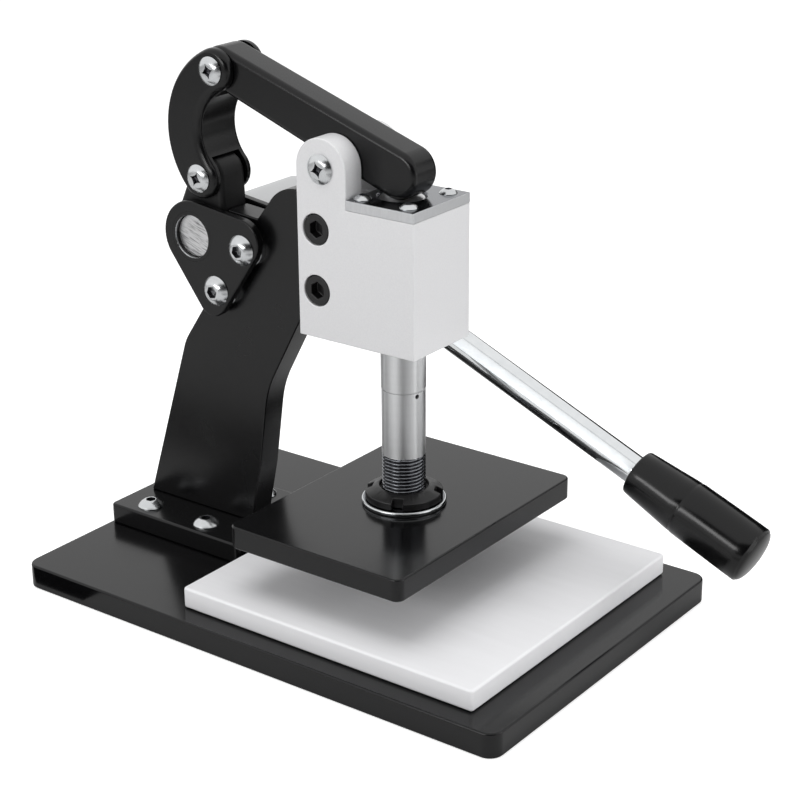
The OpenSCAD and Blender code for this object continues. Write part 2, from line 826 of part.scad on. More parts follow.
module ram() {
    turns = floor((thread_l - edge) / thread_pitch);
    thread_end = ram_bottom + edge + turns * thread_pitch;
    color(bright_steel) translate([0, ram_y, 0]) difference() {
        rotate_extrude() polygon(concat(
            [[0, ram_bottom], [thread_d / 2 - edge, ram_bottom]],
            thread_profile(turns),
            [
                [thread_d / 2, thread_end], [thread_d / 2, shoulder_z - (ram_d - thread_d) / 2],
                [ram_d / 2, shoulder_z], [ram_d / 2, collar_top],
                [ram_d / 2 - ring_groove, collar_top], [ram_d / 2 - ring_groove, collar_top + ring_t],
                [ram_d / 2, collar_top + ring_t], [ram_d / 2, ram_top - edge],
                [ram_d / 2 - edge, ram_top], [0, ram_top]
            ]
        ));
        translate([0, 0, shoulder_z - tommy_land - tommy_d / 2]) rotate([90, 0, -tommy_turn])
            cylinder(d = tommy_d, h = 2 * ram_d, center = true);
    }
}

module spring_collar() {
    color(bright_steel) translate([0, ram_y, collar_bottom]) difference() {
        cylinder(d = collar_d, h = collar_t);
        translate([0, 0, -eps]) cylinder(d = ram_d + 2 * seat_clear, h = collar_t + 2 * eps);
    }
}

module collar_ring() {
    inner = ram_d / 2 - ring_groove + seat_clear;
    color(dark_coat) translate([0, ram_y, collar_top]) difference() {
        cylinder(r = inner + ring_wall, h = ring_t - seat_clear);
        translate([0, 0, -eps]) cylinder(r = inner, h = ring_t + 2 * eps);
        translate([0, -ring_wall / 2, -eps]) cube([ram_d, ring_wall, ring_t + 2 * eps]);
    }
}

// Return spring: one tube wound on a helix
coil_n = coil_turns * coil_rings;
function coil_at(i) = let (a = 360 * i / coil_rings)
    [coil_r * cos(a), coil_r * sin(a), coil_low + (coil_high - coil_low) * i / coil_n];
coil_slope = atan2(coil_high - coil_low, 2 * PI * coil_r * coil_turns);
function coil_ring(i) = let (a = 360 * i / coil_rings)
    [for (j = [0:coil_sides - 1]) let (
        b = 360 * j / coil_sides, out = wire_d / 2 * cos(b), up = wire_d / 2 * sin(b)
    ) coil_at(i) + out * [cos(a), sin(a), 0]
        + up * [sin(coil_slope) * sin(a), -sin(coil_slope) * cos(a), cos(coil_slope)]];
coil_points = [for (i = [0:coil_n]) each coil_ring(i)];
coil_faces = [for (i = [0:coil_n - 1], j = [0:coil_sides - 1], half = [0, 1]) let (
    a = i * coil_sides + j, b = i * coil_sides + (j + 1) % coil_sides
) half == 0 ? [a, b, a + coil_sides] : [b, b + coil_sides, a + coil_sides]];
coil_ends = [for (j = [1:coil_sides - 2], end = [0, 1]) let (first = end * coil_n * coil_sides)
    end == 0 ? [first, first + j + 1, first + j] : [first, first + j, first + j + 1]];
coil_chords = [for (i = [0:coil_n], k = [i + coil_rings / 2:coil_n]) norm(coil_at(i) - coil_at(k))];
coil_gap = min(coil_chords) - wire_d;

module return_spring() {
    echo(return_spring_least_gap = coil_gap);
    color(bright_steel) translate([0, ram_y, 0]) polyhedron(coil_points, concat(coil_faces, coil_ends));
}

module press_plate() {
    color(black_coat) difference() {
        rounded_block(press_w, press_l, press_t, press_corner_r, ram_y, press_bottom);
        translate([0, ram_y, press_top - press_bore_h])
            cylinder(d = thread_d + 2 * run_clear, h = press_bore_h + eps);
    }
}

module nut_washer() {
    color(bright_steel) translate([0, ram_y, press_top]) difference() {
        cylinder(d = washer_d, h = washer_t);
        translate([0, 0, -eps]) cylinder(d = thread_d + 2 * touch_gap, h = washer_t + 2 * eps);
    }
}

module lock_nut() {
    color(dark_coat) translate([0, ram_y, nut_bottom]) difference() {
        union() {
            cylinder(d = nut_d, h = nut_h - nut_chamfer);
            translate([0, 0, nut_h - nut_chamfer])
                cylinder(d1 = nut_d, d2 = thread_d + 2 * nut_land, h = nut_chamfer);
        }
        translate([0, 0, -eps]) cylinder(d = thread_d + 2 * run_clear, h = nut_h + 2 * eps);
        translate([0, 0, nut_h - nut_bore_chamfer])
            cylinder(
                d1 = thread_d + 2 * run_clear, d2 = thread_d + 2 * (run_clear + nut_bore_chamfer + eps),
                h = nut_bore_chamfer + eps
            );
        for (i = [0:slot_count - 1])
            rotate(slot_turn + 360 * i / slot_count)
                translate([nut_d / 2 - nut_slot_h, -nut_slot_w / 2, -eps])
                    cube([nut_slot_h + edge, nut_slot_w, nut_h + 2 * eps]);
    }
}

base_plate();
cutting_board();
column_foot();
foot_screws();
column();
ram_housing();
housing_bolts();
top_plate();
top_plate_screws();
guide_bush();
left_bearing_plate();
right_bearing_plate();
plate_spacers();
plate_screws();
left_shaft_bush();
right_shaft_bush();
lever_pin();
lever_pin_screws();
drive_shaft();
crank();
crank_key();
crank_setscrew();
handle_rod();
rod_setscrew();
handle_grip();
toggle_link();
lower_link_pin();
upper_link_pin();
link_pin_screws();
top_lever();
ram();
spring_collar();
collar_ring();
return_spring();
press_plate();
nut_washer();
lock_nut();
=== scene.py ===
# %% [markdown]
# A hand press that cuts leather with steel rule dies: a handle and toggle push a ram and its plate onto a white
# board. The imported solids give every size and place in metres. This lesson copies the plates with eased edges,
# makes screws, thread, recesses and grip again in finer detail, and gives each surface its own material.

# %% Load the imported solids
import json
import math

import bmesh
import bpy
from mathutils import Matrix, Vector


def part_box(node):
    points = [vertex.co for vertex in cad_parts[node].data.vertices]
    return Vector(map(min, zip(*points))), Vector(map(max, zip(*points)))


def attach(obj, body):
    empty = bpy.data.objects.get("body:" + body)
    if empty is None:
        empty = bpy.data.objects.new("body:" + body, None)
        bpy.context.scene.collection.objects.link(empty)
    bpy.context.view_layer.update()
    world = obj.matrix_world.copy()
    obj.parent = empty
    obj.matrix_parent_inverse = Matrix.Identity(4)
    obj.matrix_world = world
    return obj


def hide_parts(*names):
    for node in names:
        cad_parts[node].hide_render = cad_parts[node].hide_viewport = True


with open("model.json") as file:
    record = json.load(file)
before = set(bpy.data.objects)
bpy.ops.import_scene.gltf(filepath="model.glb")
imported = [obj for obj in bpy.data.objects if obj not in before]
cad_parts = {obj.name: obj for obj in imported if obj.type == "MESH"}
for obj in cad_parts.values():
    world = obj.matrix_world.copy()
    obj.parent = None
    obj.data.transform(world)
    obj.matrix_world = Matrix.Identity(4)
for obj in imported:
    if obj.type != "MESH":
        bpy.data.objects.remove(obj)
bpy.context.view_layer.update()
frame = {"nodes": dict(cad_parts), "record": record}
MM = 0.001
record = frame["record"]
body_of = {node: body for body, nodes in record["behaviour"]["bodies"].items() for node in nodes}
slot_of = {part["node"]: part["material_slot"] for part in record["subparts"]}

# %% [markdown]
# The camera stands where the photographer's did. Its place and lens were worked out from the straight edges of
# base, board and housing, so a point of the solids falls on the same pixel as in the picture.

# %% Camera
eye = Vector((-784.51, -613.26, 509.86)) * MM
ahead = Vector((0.744265, 0.556974, -0.368578))
side = Vector((0.597049, -0.802178, -0.006593))
up = Vector((0.299337, 0.215152, 0.929574))
lens = bpy.data.cameras.new("camera")
lens.sensor_width = 36.0
lens.lens = 89.58
camera = bpy.data.objects.new("camera", lens)
camera.matrix_world = Matrix.Translation(eye) @ Matrix((side, up, -ahead)).transposed().to_4x4()
bpy.context.scene.collection.objects.link(camera)
bpy.context.scene.camera = camera
print("camera", round(eye.length, 3), "m from the middle of the base")

# %% [markdown]
# All node trees are written with one helper that adds a node, sets it and fills or links its inputs.
# Colours are written as on a paint card and turned to the linear values that the shaders use.

# %% Helpers for node trees and colours
WHITE = (1.0, 1.0, 1.0, 1.0)


def put(tree, kind, inputs=None, **settings):
    """Adds a node. inputs: socket name or number to a value, or to the socket that feeds it."""
    made = tree.nodes.new(kind)
    for key, value in settings.items():
        setattr(made, key, value)
    for key, value in (inputs or {}).items():
        if isinstance(value, bpy.types.NodeSocket):
            tree.links.new(value, made.inputs[key])
        else:
            made.inputs[key].default_value = value
    return made


def paint(code):
    """Linear colour of an sRGB hex code."""
    parts = [int(code[i:i + 2], 16) / 255 for i in (1, 3, 5)]
    return tuple(p / 12.92 if p <= 0.04045 else ((p + 0.055) / 1.055) ** 2.4 for p in parts) + (1.0,)


print("white card", paint("#ffffff"), "black card", paint("#1b1b1d"))

# %% [markdown]
# The picture was taken on white, with large soft lamps. World and floor are white where the camera or a mirror sees
# them and weaker where they only light, so the pale housing does not burn out and the press keeps a soft shadow.
# The floor lies a hair below the base, so that the two faces never share a plane.

# %% World
def seen_strength(tree, light, camera, mirror):
    """Strength for rays that only light, plus what the camera, or a mirror or glass, sees more."""
    ray = put(tree, "ShaderNodeLightPath").outputs
    either = {0: ray["Is Glossy Ray"], 1: ray["Is Transmission Ray"]}
    gloss = put(tree, "ShaderNodeMath", either, operation="MAXIMUM").outputs[0]
    direct = {0: ray["Is Camera Ray"], 1: camera, 2: light}
    seen = put(tree, "ShaderNodeMath", direct, operation="MULTIPLY_ADD").outputs[0]
    return put(tree, "ShaderNodeMath", {0: gloss, 1: mirror, 2: seen}, operation="MULTIPLY_ADD").outputs[0]


world = bpy.data.worlds.new("white studio")
bpy.context.scene.world = world
world.use_nodes = True
tree = world.node_tree
tree.nodes.clear()
strength = seen_strength(tree, light=0.45, camera=0.55, mirror=0.55)
backdrop = put(tree, "ShaderNodeBackground", {"Color": WHITE, "Strength": strength})
put(tree, "ShaderNodeOutputWorld", {"Surface": backdrop.outputs[0]})
print("world:", world.name)

# %% Floor
FLOOR_SIZE, FLOOR_DROP = 12.0, 0.3 * MM


def aimed_at(place, aim, front="Z"):
    """Matrix that sets a thing down at place with its front axis towards aim."""
    way = Vector(aim) - Vector(place)
    return Matrix.Translation(place) @ way.to_track_quat(front, "Y").to_matrix().to_4x4()


def card(name, place, aim, width, height, shade, glow, roll=0.0):
    """A flat matt rectangle that faces aim, rolled by degrees, such as the floor or a card round the press.

    glow is the strength of its own light, or a function that gives it as a socket of the tree.
    """
    mesh = bpy.data.meshes.new(name)
    w, h = width / 2, height / 2
    mesh.from_pydata([(-w, -h, 0), (w, -h, 0), (w, h, 0), (-w, h, 0)], [], [(0, 1, 2, 3)])
    mesh.transform(aimed_at(place, aim) @ Matrix.Rotation(math.radians(roll), 4, "Z"))
    finish = bpy.data.materials.new(name)
    finish.use_nodes = True
    tree = finish.node_tree
    tree.nodes.clear()
    matt = put(tree, "ShaderNodeBsdfDiffuse", {"Color": paint(shade)})
    shine = put(tree, "ShaderNodeEmission", {"Color": WHITE, "Strength": glow(tree) if callable(glow) else glow})
    lit = put(tree, "ShaderNodeAddShader", {0: matt.outputs[0], 1: shine.outputs[0]})
    put(tree, "ShaderNodeOutputMaterial", {"Surface": lit.outputs[0]})
    mesh.materials.append(finish)
    made = bpy.data.objects.new(name, mesh)
    bpy.context.scene.collection.objects.link(made)
    return made


floor = card("floor", (0, 0, -FLOOR_DROP), (0, 0, 1), FLOOR_SIZE, FLOOR_SIZE, "#e2e2e2",
             glow=lambda tree: seen_strength(tree, light=0.0, camera=0.7, mirror=0.05))
print("floor", round(floor.dimensions.x, 1), "m wide")

# %% [markdown]
# Gloss needs something dark to mirror, or it looks like paper. As a photographer does, a black cloth hangs behind
# the camera, a black card stands at the right, black mats lie at the right and rear and a grey one in front. White
# strips put the bright streaks on ram and rod. Only mirrors see these cards. Of the lamps, mirrors see the left one
# alone.

# %% Cards for the mirrors
FELT, MAT_DROP = "#121212", 0.2 * MM
HANDLE_DROOP = 23.0
middle = (0.0, 0.02, 0.12)


def mirror_card(name, place, aim, width, height, shade=FELT, glow=0.0, roll=0.0):
    """A card that only mirrors see."""
    made = card(name, place, aim, width, height, shade, glow, roll)
    for kind in ("camera", "diffuse", "transmission", "volume_scatter", "shadow"):
        setattr(made, "visible_" + kind, False)
    return made


def mat(name, x, y, width, height, shade=FELT):
    """A mirror card that lies on the floor."""
    return mirror_card(name, (x, y, -MAT_DROP), (x, y, 1.0), width, height, shade)


def rod_card(name, x, y, z, width, height, glow):
    """A glowing mirror card along the rod, facing it."""
    return mirror_card(name, (x, y, z), (1.0, y, z), width, height, "#ffffff", glow, HANDLE_DROOP)


cards = (
    mirror_card("black cloth", eye * 1.7, middle, 2.6, 1.4),
    mirror_card("black card", (1.12, -0.06, 0.39), (0.55, 0.36, 1.09), 1.2, 1.25),
    mat("black mat", 0.36, 0.0, 0.2, 0.4),
    mat("rear mat", -0.14, 0.23, 0.06, 0.22),
    mat("grey card", -0.36, -0.3, 0.3, 0.3, "#a0a0a0"),
    mirror_card("ram strip", (0.05, -0.38, 0.15), (0.0, -0.03, 0.12), 0.1, 0.3, "#ffffff", glow=0.9),
    rod_card("rod strip", 0.047, -0.0563, 0.1333, 0.185, 0.012, glow=0.55),
    rod_card("rod shade", 0.047, -0.0603, 0.1428, 0.185, 0.0085, glow=0.15))
print("cards:", ", ".join(made.name for made in cards))

# %% [markdown]
# Three area lamps give the plain light of a studio: a large one above, a low one at the left that also shows in
# the gloss, and one in front. Area lamps are used because a large lamp makes a soft shadow.

# %% Soft lamps
def softbox(name, place, aim, width, height, power):
    """An area lamp that points at aim."""
    lamp = bpy.data.lights.new(name, "AREA")
    lamp.shape = "RECTANGLE"
    lamp.size, lamp.size_y = width, height
    lamp.energy = power
    made = bpy.data.objects.new(name, lamp)
    made.matrix_world = aimed_at(place, aim, "-Z")
    bpy.context.scene.collection.objects.link(made)
    return made


top_lamp = softbox("top lamp", (-0.15, 0.25, 1.35), middle, 1.0, 1.0, power=8.0)
left_lamp = softbox("left lamp", (-1.25, 0.15, 0.6), middle, 0.9, 0.25, power=4.5)
front_lamp = softbox("front lamp", (0.3, -1.4, 0.35), middle, 0.8, 0.8, power=9.0)
top_lamp.visible_glossy = front_lamp.visible_glossy = False
print("lamps:", ", ".join(lamp.name for lamp in (top_lamp, left_lamp, front_lamp)))

# %% [markdown]
# Each material starts from the real one and how its surface was made. All patterns read Object coordinates in
# metres, so a spacing of one millimetre is a scale of 1000. A pattern that is too fine to show is drawn coarser, and
# says so. One pattern leads both colour and gloss, because a scratch or a cloud changes the two together.

# %% Start of a material
def start_material(name, **values):
    """A Principled material, its tree, shader and object coordinates. values fill the shader's own sockets."""
    made = bpy.data.materials.new(name)
    made.use_nodes = True
    tree = made.node_tree
    tree.nodes.clear()
    own = {key.replace("_", " "): value for key, value in values.items()}
    shader = put(tree, "ShaderNodeBsdfPrincipled", own)
    put(tree, "ShaderNodeOutputMaterial", {"Surface": shader.outputs[0]})
    place = put(tree, "ShaderNodeTexCoord").outputs["Object"]
    return made, tree, shader, place


def per_mm(spacing):
    """Noise scale whose features are spacing millimetres apart."""
    return 1.0 / (spacing * MM)


print("a 1.2 mm grain has scale", round(per_mm(1.2)))

# %% What a pattern leads
# Most of a noise lies between these two values.
NOISE_LOW, NOISE_HIGH = 0.3, 0.7
# Numbers of the colour sockets of a Mix node.
MIX_FIRST, MIX_SECOND, MIX_RESULT = 6, 7, 2


def lead_surface(tree, shader, lead, colours, roughness, tone_lead=None):
    """Lets a pattern lead the colour, between two hex codes, and the roughness, between two values.

    tone_lead is another pattern for the colour alone.
    """
    first, second = map(paint, colours)
    mixed = {0: lead if tone_lead is None else tone_lead, MIX_FIRST: first, MIX_SECOND: second}
    tone = put(tree, "ShaderNodeMix", mixed, data_type="RGBA")
    tree.links.new(tone.outputs[MIX_RESULT], shader.inputs["Base Color"])
    smooth, rough = roughness
    gloss = put(tree, "ShaderNodeMapRange", {0: lead, 1: NOISE_LOW, 2: NOISE_HIGH, 3: smooth, 4: rough})
    tree.links.new(gloss.outputs[0], shader.inputs["Roughness"])


print("noise is read from", NOISE_LOW, "to", NOISE_HIGH)

# %% [markdown]
# Black powder is sprayed on and baked until it flows out: a deep black skin with a slight orange peel of about
# 6 mm that bends what it mirrors. A photograph of real coat could be laid on, but noise has no seams and keeps its
# size on every piece: a wide one for the sheen and a finer one for a very shallow bump. The base, foot and press
# plate came out glossy, the column, the bearing plates and the toggle's pieces satin and the crank dry.

# %% Black powder coat
def powder_coat(name, smooth, rough):
    """Black coat whose roughness lies between smooth and rough."""
    made, tree, shader, place = start_material(name, IOR=1.4)
    cloud = put(tree, "ShaderNodeTexNoise", {
        "Vector": place, "Scale": per_mm(45), "Detail": 3.0}).outputs[0]
    lead_surface(tree, shader, cloud, ("#070708", "#0c0c0d"), (smooth, rough))
    peel = put(tree, "ShaderNodeTexNoise", {
        "Vector": place, "Scale": per_mm(6), "Detail": 1.0}).outputs[0]
    bump = put(tree, "ShaderNodeBump", {"Strength": 0.05, "Distance": 0.03 * MM, "Height": peel})
    tree.links.new(bump.outputs[0], shader.inputs["Normal"])
    return made


black_powder_coat = powder_coat("black_powder_coat", 0.15, 0.2)
satin_powder_coat = powder_coat("satin_black_powder_coat", 0.22, 0.28)
dry_powder_coat = powder_coat("dry_black_powder_coat", 0.42, 0.5)
print(black_powder_coat.name, satin_powder_coat.name, dry_powder_coat.name)

# %% [markdown]
# The housing is a sawn block, milled, blasted with fine beads and anodised: an even, dry, pale surface with a
# grain of 0.3 mm. The grain is drawn at 0.8 mm, because it would not show otherwise. The anodic skin hides most
# of the mirror, so the shader is only a quarter metal.

# %% Pale grey aluminium
pale_grey_aluminium, tree, shader, place = start_material("blasted_anodised_aluminium", Metallic=0.25)
grain = put(tree, "ShaderNodeTexNoise", {
    "Vector": place, "Scale": per_mm(0.8), "Detail": 2.0}).outputs[0]
lead_surface(tree, shader, grain, ("#dedee0", "#eaeaeb"), (0.46, 0.56))
bump = put(tree, "ShaderNodeBump", {"Strength": 0.1, "Distance": 0.02 * MM, "Height": grain})
tree.links.new(bump.outputs[0], shader.inputs["Normal"])
print(pale_grey_aluminium.name)

# %% [markdown]
# The top plate was surface ground, then polished along X, and faint lines 0.5 mm apart stay in the gloss. They
# are too fine for geometry, so a noise that is drawn out along X leads colour and roughness. Its colour is kept far
# darker than steel: a painted reflection of the dark parts round the plate. The washer's top and the thread's crest
# get it too, as painted shade.

# %% Polished steel
polished_steel, tree, shader, place = start_material("polished_ground_steel_painted_dark", Metallic=1.0)
drawn = put(tree, "ShaderNodeMapping", {"Vector": place, "Scale": (0.04, 1.0, 1.0)}).outputs[0]
lines = put(tree, "ShaderNodeTexNoise", {
    "Vector": drawn, "Scale": per_mm(0.5), "Detail": 2.0}).outputs[0]
lead_surface(tree, shader, lines, ("#6f7175", "#838589"), (0.1, 0.2))
print(polished_steel.name)

# %% [markdown]
# The edges of the polished plate came from the milling cutter: pale and satin, with upright tool marks of 0.8 mm.
# The same kind of noise serves, this time drawn out along Z.

# %% Milled edges
milled_steel, tree, shader, place = start_material("milled_steel_edge", Metallic=0.6)
drawn = put(tree, "ShaderNodeMapping", {"Vector": place, "Scale": (1.0, 1.0, 0.1)}).outputs[0]
mark = put(tree, "ShaderNodeTexNoise", {
    "Vector": drawn, "Scale": per_mm(0.8), "Detail": 2.0}).outputs[0]
lead_surface(tree, shader, mark, ("#c0c1c3", "#d2d3d5"), (0.36, 0.46))
print(milled_steel.name)

# %% [markdown]
# Screws and washers have bright zinc, plated in a barrel: it mirrors the room softly, with faint duller clouds of
# 5 mm. On such small pieces a metal with a slight change of roughness is enough.

# %% Zinc plate on screws and washers
zinc_plated_screw, tree, shader, place = start_material("bright_zinc_plate", Metallic=1.0)
patch = put(tree, "ShaderNodeTexNoise", {
    "Vector": place, "Scale": per_mm(5.0), "Detail": 2.0}).outputs[0]
lead_surface(tree, shader, patch, ("#c6c8ca", "#d8dadb"), (0.2, 0.25))
print(zinc_plated_screw.name)

# %% [markdown]
# Painted shade for hollows: dark, dull steel with spots of 1.5 mm stands in for the shade at the bottom of a
# recess, which soft lamps alone leave too bright. It is a finish of its own, so that the recess stays dark.

# %% Painted shade for recesses
painted_shade_recess, tree, shader, place = start_material("painted_shade_screw_recess", Metallic=1.0)
spot = put(tree, "ShaderNodeTexNoise", {
    "Vector": place, "Scale": per_mm(1.5), "Detail": 2.0}).outputs[0]
lead_surface(tree, shader, spot, ("#26262a", "#56565a"), (0.3, 0.45))
print(painted_shade_recess.name)

# %% [markdown]
# Ram and shaft were turned, then ground between centres. The fine rings round the bar draw each lamp out into a
# streak along it. They are far too fine to model, so the anisotropic gloss gives the streak, with a tangent that
# runs round the bar. The rings themselves are drawn 2 mm apart, coarser than real, and very faint.

# %% Ground steel of ram and shaft
def ground_bar(name, axis):
    """Ground steel of a bar along X or Z."""
    made, tree, shader, place = start_material(name, Metallic=1.0, Anisotropic=0.75, Anisotropic_Rotation=0.25)
    stretch = [1.0 if letter == axis else 0.02 for letter in "XYZ"]
    drawn = put(tree, "ShaderNodeMapping", {"Vector": place, "Scale": stretch}).outputs[0]
    rings = put(tree, "ShaderNodeTexNoise", {
        "Vector": drawn, "Scale": per_mm(2.0), "Detail": 2.0}).outputs[0]
    lead_surface(tree, shader, rings, ("#c8c9ca", "#cfd0d1"), (0.33, 0.37))
    ring_way = put(tree, "ShaderNodeTangent", direction_type="RADIAL", axis=axis)
    tree.links.new(ring_way.outputs[0], shader.inputs["Tangent"])
    return made


ground_steel = ground_bar("ground_steel_bar", "X")
ram_steel = ground_bar("ground_steel_ram", "Z")
print(ground_steel.name, ram_steel.name)

# %% [markdown]
# The bar was cut by a band saw and left so: long slanting scratches about 1 mm apart. A Mapping node turns a noise
# and draws it out, and its low values get the dark colour, painted shade in the deepest scratches.

# %% Sawn end of the shaft
sawn_steel, tree, shader, place = start_material("sawn_steel_end", Metallic=1.0)
slant = put(tree, "ShaderNodeMapping", {
    "Vector": place, "Rotation": (math.radians(-70), 0, 0), "Scale": (1.0, 1.0, 12.0)}, vector_type="TEXTURE")
scratch = put(tree, "ShaderNodeTexNoise", {
    "Vector": slant.outputs[0], "Scale": per_mm(0.9), "Detail": 3.0, "Roughness": 0.7}).outputs[0]
deep = put(tree, "ShaderNodeMapRange", {0: scratch, 1: NOISE_LOW, 2: 0.52, 3: 0.0, 4: 1.0}).outputs[0]
lead_surface(tree, shader, scratch, ("#58595b", "#d6d6d7"), (0.3, 0.5), tone_lead=deep)
bump = put(tree, "ShaderNodeBump", {"Strength": 0.35, "Distance": 0.08 * MM, "Height": scratch})
tree.links.new(bump.outputs[0], shader.inputs["Normal"])
print(sawn_steel.name)

# %% [markdown]
# The rod is a polished bar with bright chrome. A perfect mirror would look drawn, so a trace of polishing haze,
# 6 mm wide, is left on it.

# %% Chrome on the handle rod
chromed_steel, tree, shader, place = start_material("bright_chrome_plate", Metallic=1.0)
haze = put(tree, "ShaderNodeTexNoise", {
    "Vector": place, "Scale": per_mm(6.0), "Detail": 2.0}).outputs[0]
lead_surface(tree, shader, haze, ("#d9dcde", "#e9ebec"), (0.05, 0.08))
print(chromed_steel.name)

# %% [markdown]
# Nut and bolts are steel, blackened in hot salts and oiled: almost black, with a soft sheen and faint brown-grey
# clouds of 4 mm. The black layer shows little metal, so the shader is mostly not metal.

# %% Black oxide
black_oxide_steel, tree, shader, place = start_material("oiled_black_oxide_steel", Metallic=0.1)
cloud = put(tree, "ShaderNodeTexNoise", {
    "Vector": place, "Scale": per_mm(4.0), "Detail": 3.0}).outputs[0]
lead_surface(tree, shader, cloud, ("#0b0b0c", "#141314"), (0.28, 0.42))
print(black_oxide_steel.name)

# %% [markdown]
# The grip is moulded phenolic or ABS, straight from a polished mould. Very slight sink waves of 9 mm bend the
# highlights. A shallow bump gives them without more faces.

# %% Glossy black plastic
glossy_black_plastic, tree, shader, place = start_material("moulded_glossy_black_plastic", IOR=1.4)
wave = put(tree, "ShaderNodeTexNoise", {
    "Vector": place, "Scale": per_mm(9.0), "Detail": 1.0}).outputs[0]
lead_surface(tree, shader, wave, ("#060606", "#0b0b0c"), (0.17, 0.21))
bump = put(tree, "ShaderNodeBump", {"Strength": 0.05, "Distance": 0.1 * MM, "Height": wave})
tree.links.new(bump.outputs[0], shader.inputs["Normal"])
print(glossy_black_plastic.name)

# %% [markdown]
# The board is pressed sheet, planed: waxy white with shallow planing waves 5 mm apart and a fine grain. One noise
# with much detail, drawn out along Y, gives both.

# %% White polyethylene
white_polyethylene, tree, shader, place = start_material("planed_white_polyethylene", IOR=1.51)
drawn = put(tree, "ShaderNodeMapping", {"Vector": place, "Scale": (1.0, 0.12, 1.0)}).outputs[0]
plane_mark = put(tree, "ShaderNodeTexNoise", {
    "Vector": drawn, "Scale": per_mm(5.0), "Detail": 4.0}).outputs[0]
lead_surface(tree, shader, plane_mark, ("#efeff1", "#f6f6f8"), (0.4, 0.52))
bump = put(tree, "ShaderNodeBump", {"Strength": 0.08, "Distance": 0.05 * MM, "Height": plane_mark})
tree.links.new(bump.outputs[0], shader.inputs["Normal"])
print(white_polyethylene.name)

# %% [markdown]
# Turned bearing bronze shows tool rings of 0.6 mm, and drawn spring wire has dull streaks of 1 mm. Both sit
# inside the housing, so one noise for each is enough.

# %% Bronze and spring wire inside the housing
bearing_bronze, tree, shader, place = start_material("turned_bearing_bronze", Metallic=1.0)
drawn = put(tree, "ShaderNodeMapping", {"Vector": place, "Scale": (0.05, 0.05, 1.0)}).outputs[0]
tool_ring = put(tree, "ShaderNodeTexNoise", {
    "Vector": drawn, "Scale": per_mm(0.6), "Detail": 2.0}).outputs[0]
lead_surface(tree, shader, tool_ring, ("#9a7440", "#bd9456"), (0.25, 0.4))

spring_steel, tree, shader, place = start_material("drawn_spring_wire", Metallic=1.0)
streak = put(tree, "ShaderNodeTexNoise", {
    "Vector": place, "Scale": per_mm(1.0), "Detail": 2.0}).outputs[0]
lead_surface(tree, shader, streak, ("#6d6e70", "#8d8e90"), (0.3, 0.45))
print(bearing_bronze.name, spring_steel.name)

# %% [markdown]
# Every solid first gets the material of its slot. Those that stay hidden, or that are right as they are, need no more.

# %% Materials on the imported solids
finish_of = {
    "black_powder_coat": black_powder_coat, "white_polyethylene": white_polyethylene,
    "pale_grey_aluminium": pale_grey_aluminium, "polished_steel": polished_steel,
    "zinc_plated_screw": zinc_plated_screw, "ground_steel": ground_steel, "chromed_steel": chromed_steel,
    "black_oxide_steel": black_oxide_steel, "glossy_black_plastic": glossy_black_plastic,
    "bearing_bronze": bearing_bronze, "spring_steel": spring_steel,
}
for name, solid in frame["nodes"].items():
    for holder in solid.material_slots:
        holder.material = finish_of[slot_of[name]]
print("dressed", len(frame["nodes"]), "solids from", len(finish_of), "slots")

# %% [markdown]
# No real plate has knife edges: sawing, grinding and powder leave a small round that catches the light.
# A bevel needs joined faces, so a copy of the solid is merged and its flat triangles are dissolved first.
# The bevel modifier then rounds only edges that are sharper than 40 degrees, and never adds to the size.

# %% Copies with eased edges
WELD = 0.002 * MM
FLAT, SHARP = math.radians(0.2), math.radians(40)


def settle(piece, node):
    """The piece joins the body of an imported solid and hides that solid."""
    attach(piece, body_of[node])
    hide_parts(node)


def merged_copy(node):
    """The solid's mesh with joined faces, as a bmesh."""
    shape = bmesh.new()
    shape.from_mesh(frame["nodes"][node].data)
    bmesh.ops.remove_doubles(shape, verts=shape.verts, dist=WELD)
    bmesh.ops.dissolve_limit(shape, angle_limit=FLAT, verts=shape.verts, edges=shape.edges, delimit=set())
    return shape


def add_piece(name, shape, *finishes):
    """Object from a bmesh, shaded smooth, with its finishes in the order of the faces' indices."""
    mesh = bpy.data.meshes.new(name)
    shape.to_mesh(mesh)
    shape.free()
    mesh.polygons.foreach_set("use_smooth", [True] * len(mesh.polygons))
    for finish in finishes:
        mesh.materials.append(finish)
    piece = bpy.data.objects.new(name, mesh)
    bpy.context.scene.collection.objects.link(piece)
    return piece


def ease(piece, edge):
    """Rounds the sharp edges by edge millimetres."""
    bevel = piece.modifiers.new("eased edges", "BEVEL")
    bevel.width = edge * MM
    bevel.segments = 3
    bevel.limit_method = "ANGLE"
    bevel.angle_limit = SHARP
    bevel.use_clamp_overlap = False
    bevel.loop_slide = False
    piece.modifiers.new("flat faces", "WEIGHTED_NORMAL").keep_sharp = True
    return bevel


print("edges over", round(math.degrees(SHARP)), "degrees are eased")

# %% Plain pieces
edges = {
    "base_plate": 1.2, "cutting_board": 1.5, "column_foot": 1.3, "column": 0.9, "ram_housing": 0.6,
    "press_plate": 1.0, "plate_spacers": 0.25, "housing_bolts": 0.5, "handle_rod": 0.5,
}
for node, edge in edges.items():
    finish = satin_powder_coat if node == "column" else finish_of[slot_of[node]]
    piece = add_piece(node + "_eased", merged_copy(node), finish)
    ease(piece, edge)
    settle(piece, node)
print("eased", len(edges), "pieces")

# %% [markdown]
# The top plate is polished on its faces and left as milled on its edges, so the copy's upright faces get a second
# finish. The nut's washer gets the dark steel on its top, a painted reflection of the black nut above it, but its
# rounded rim keeps the bright zinc: there the bevel has its own finish.

# %% Top plate and washer
# A face runs along an axis when its normal has less than this part in it.
ALONG = 0.5
PLATE_EDGE, WASHER_EDGE = 0.3, 0.9

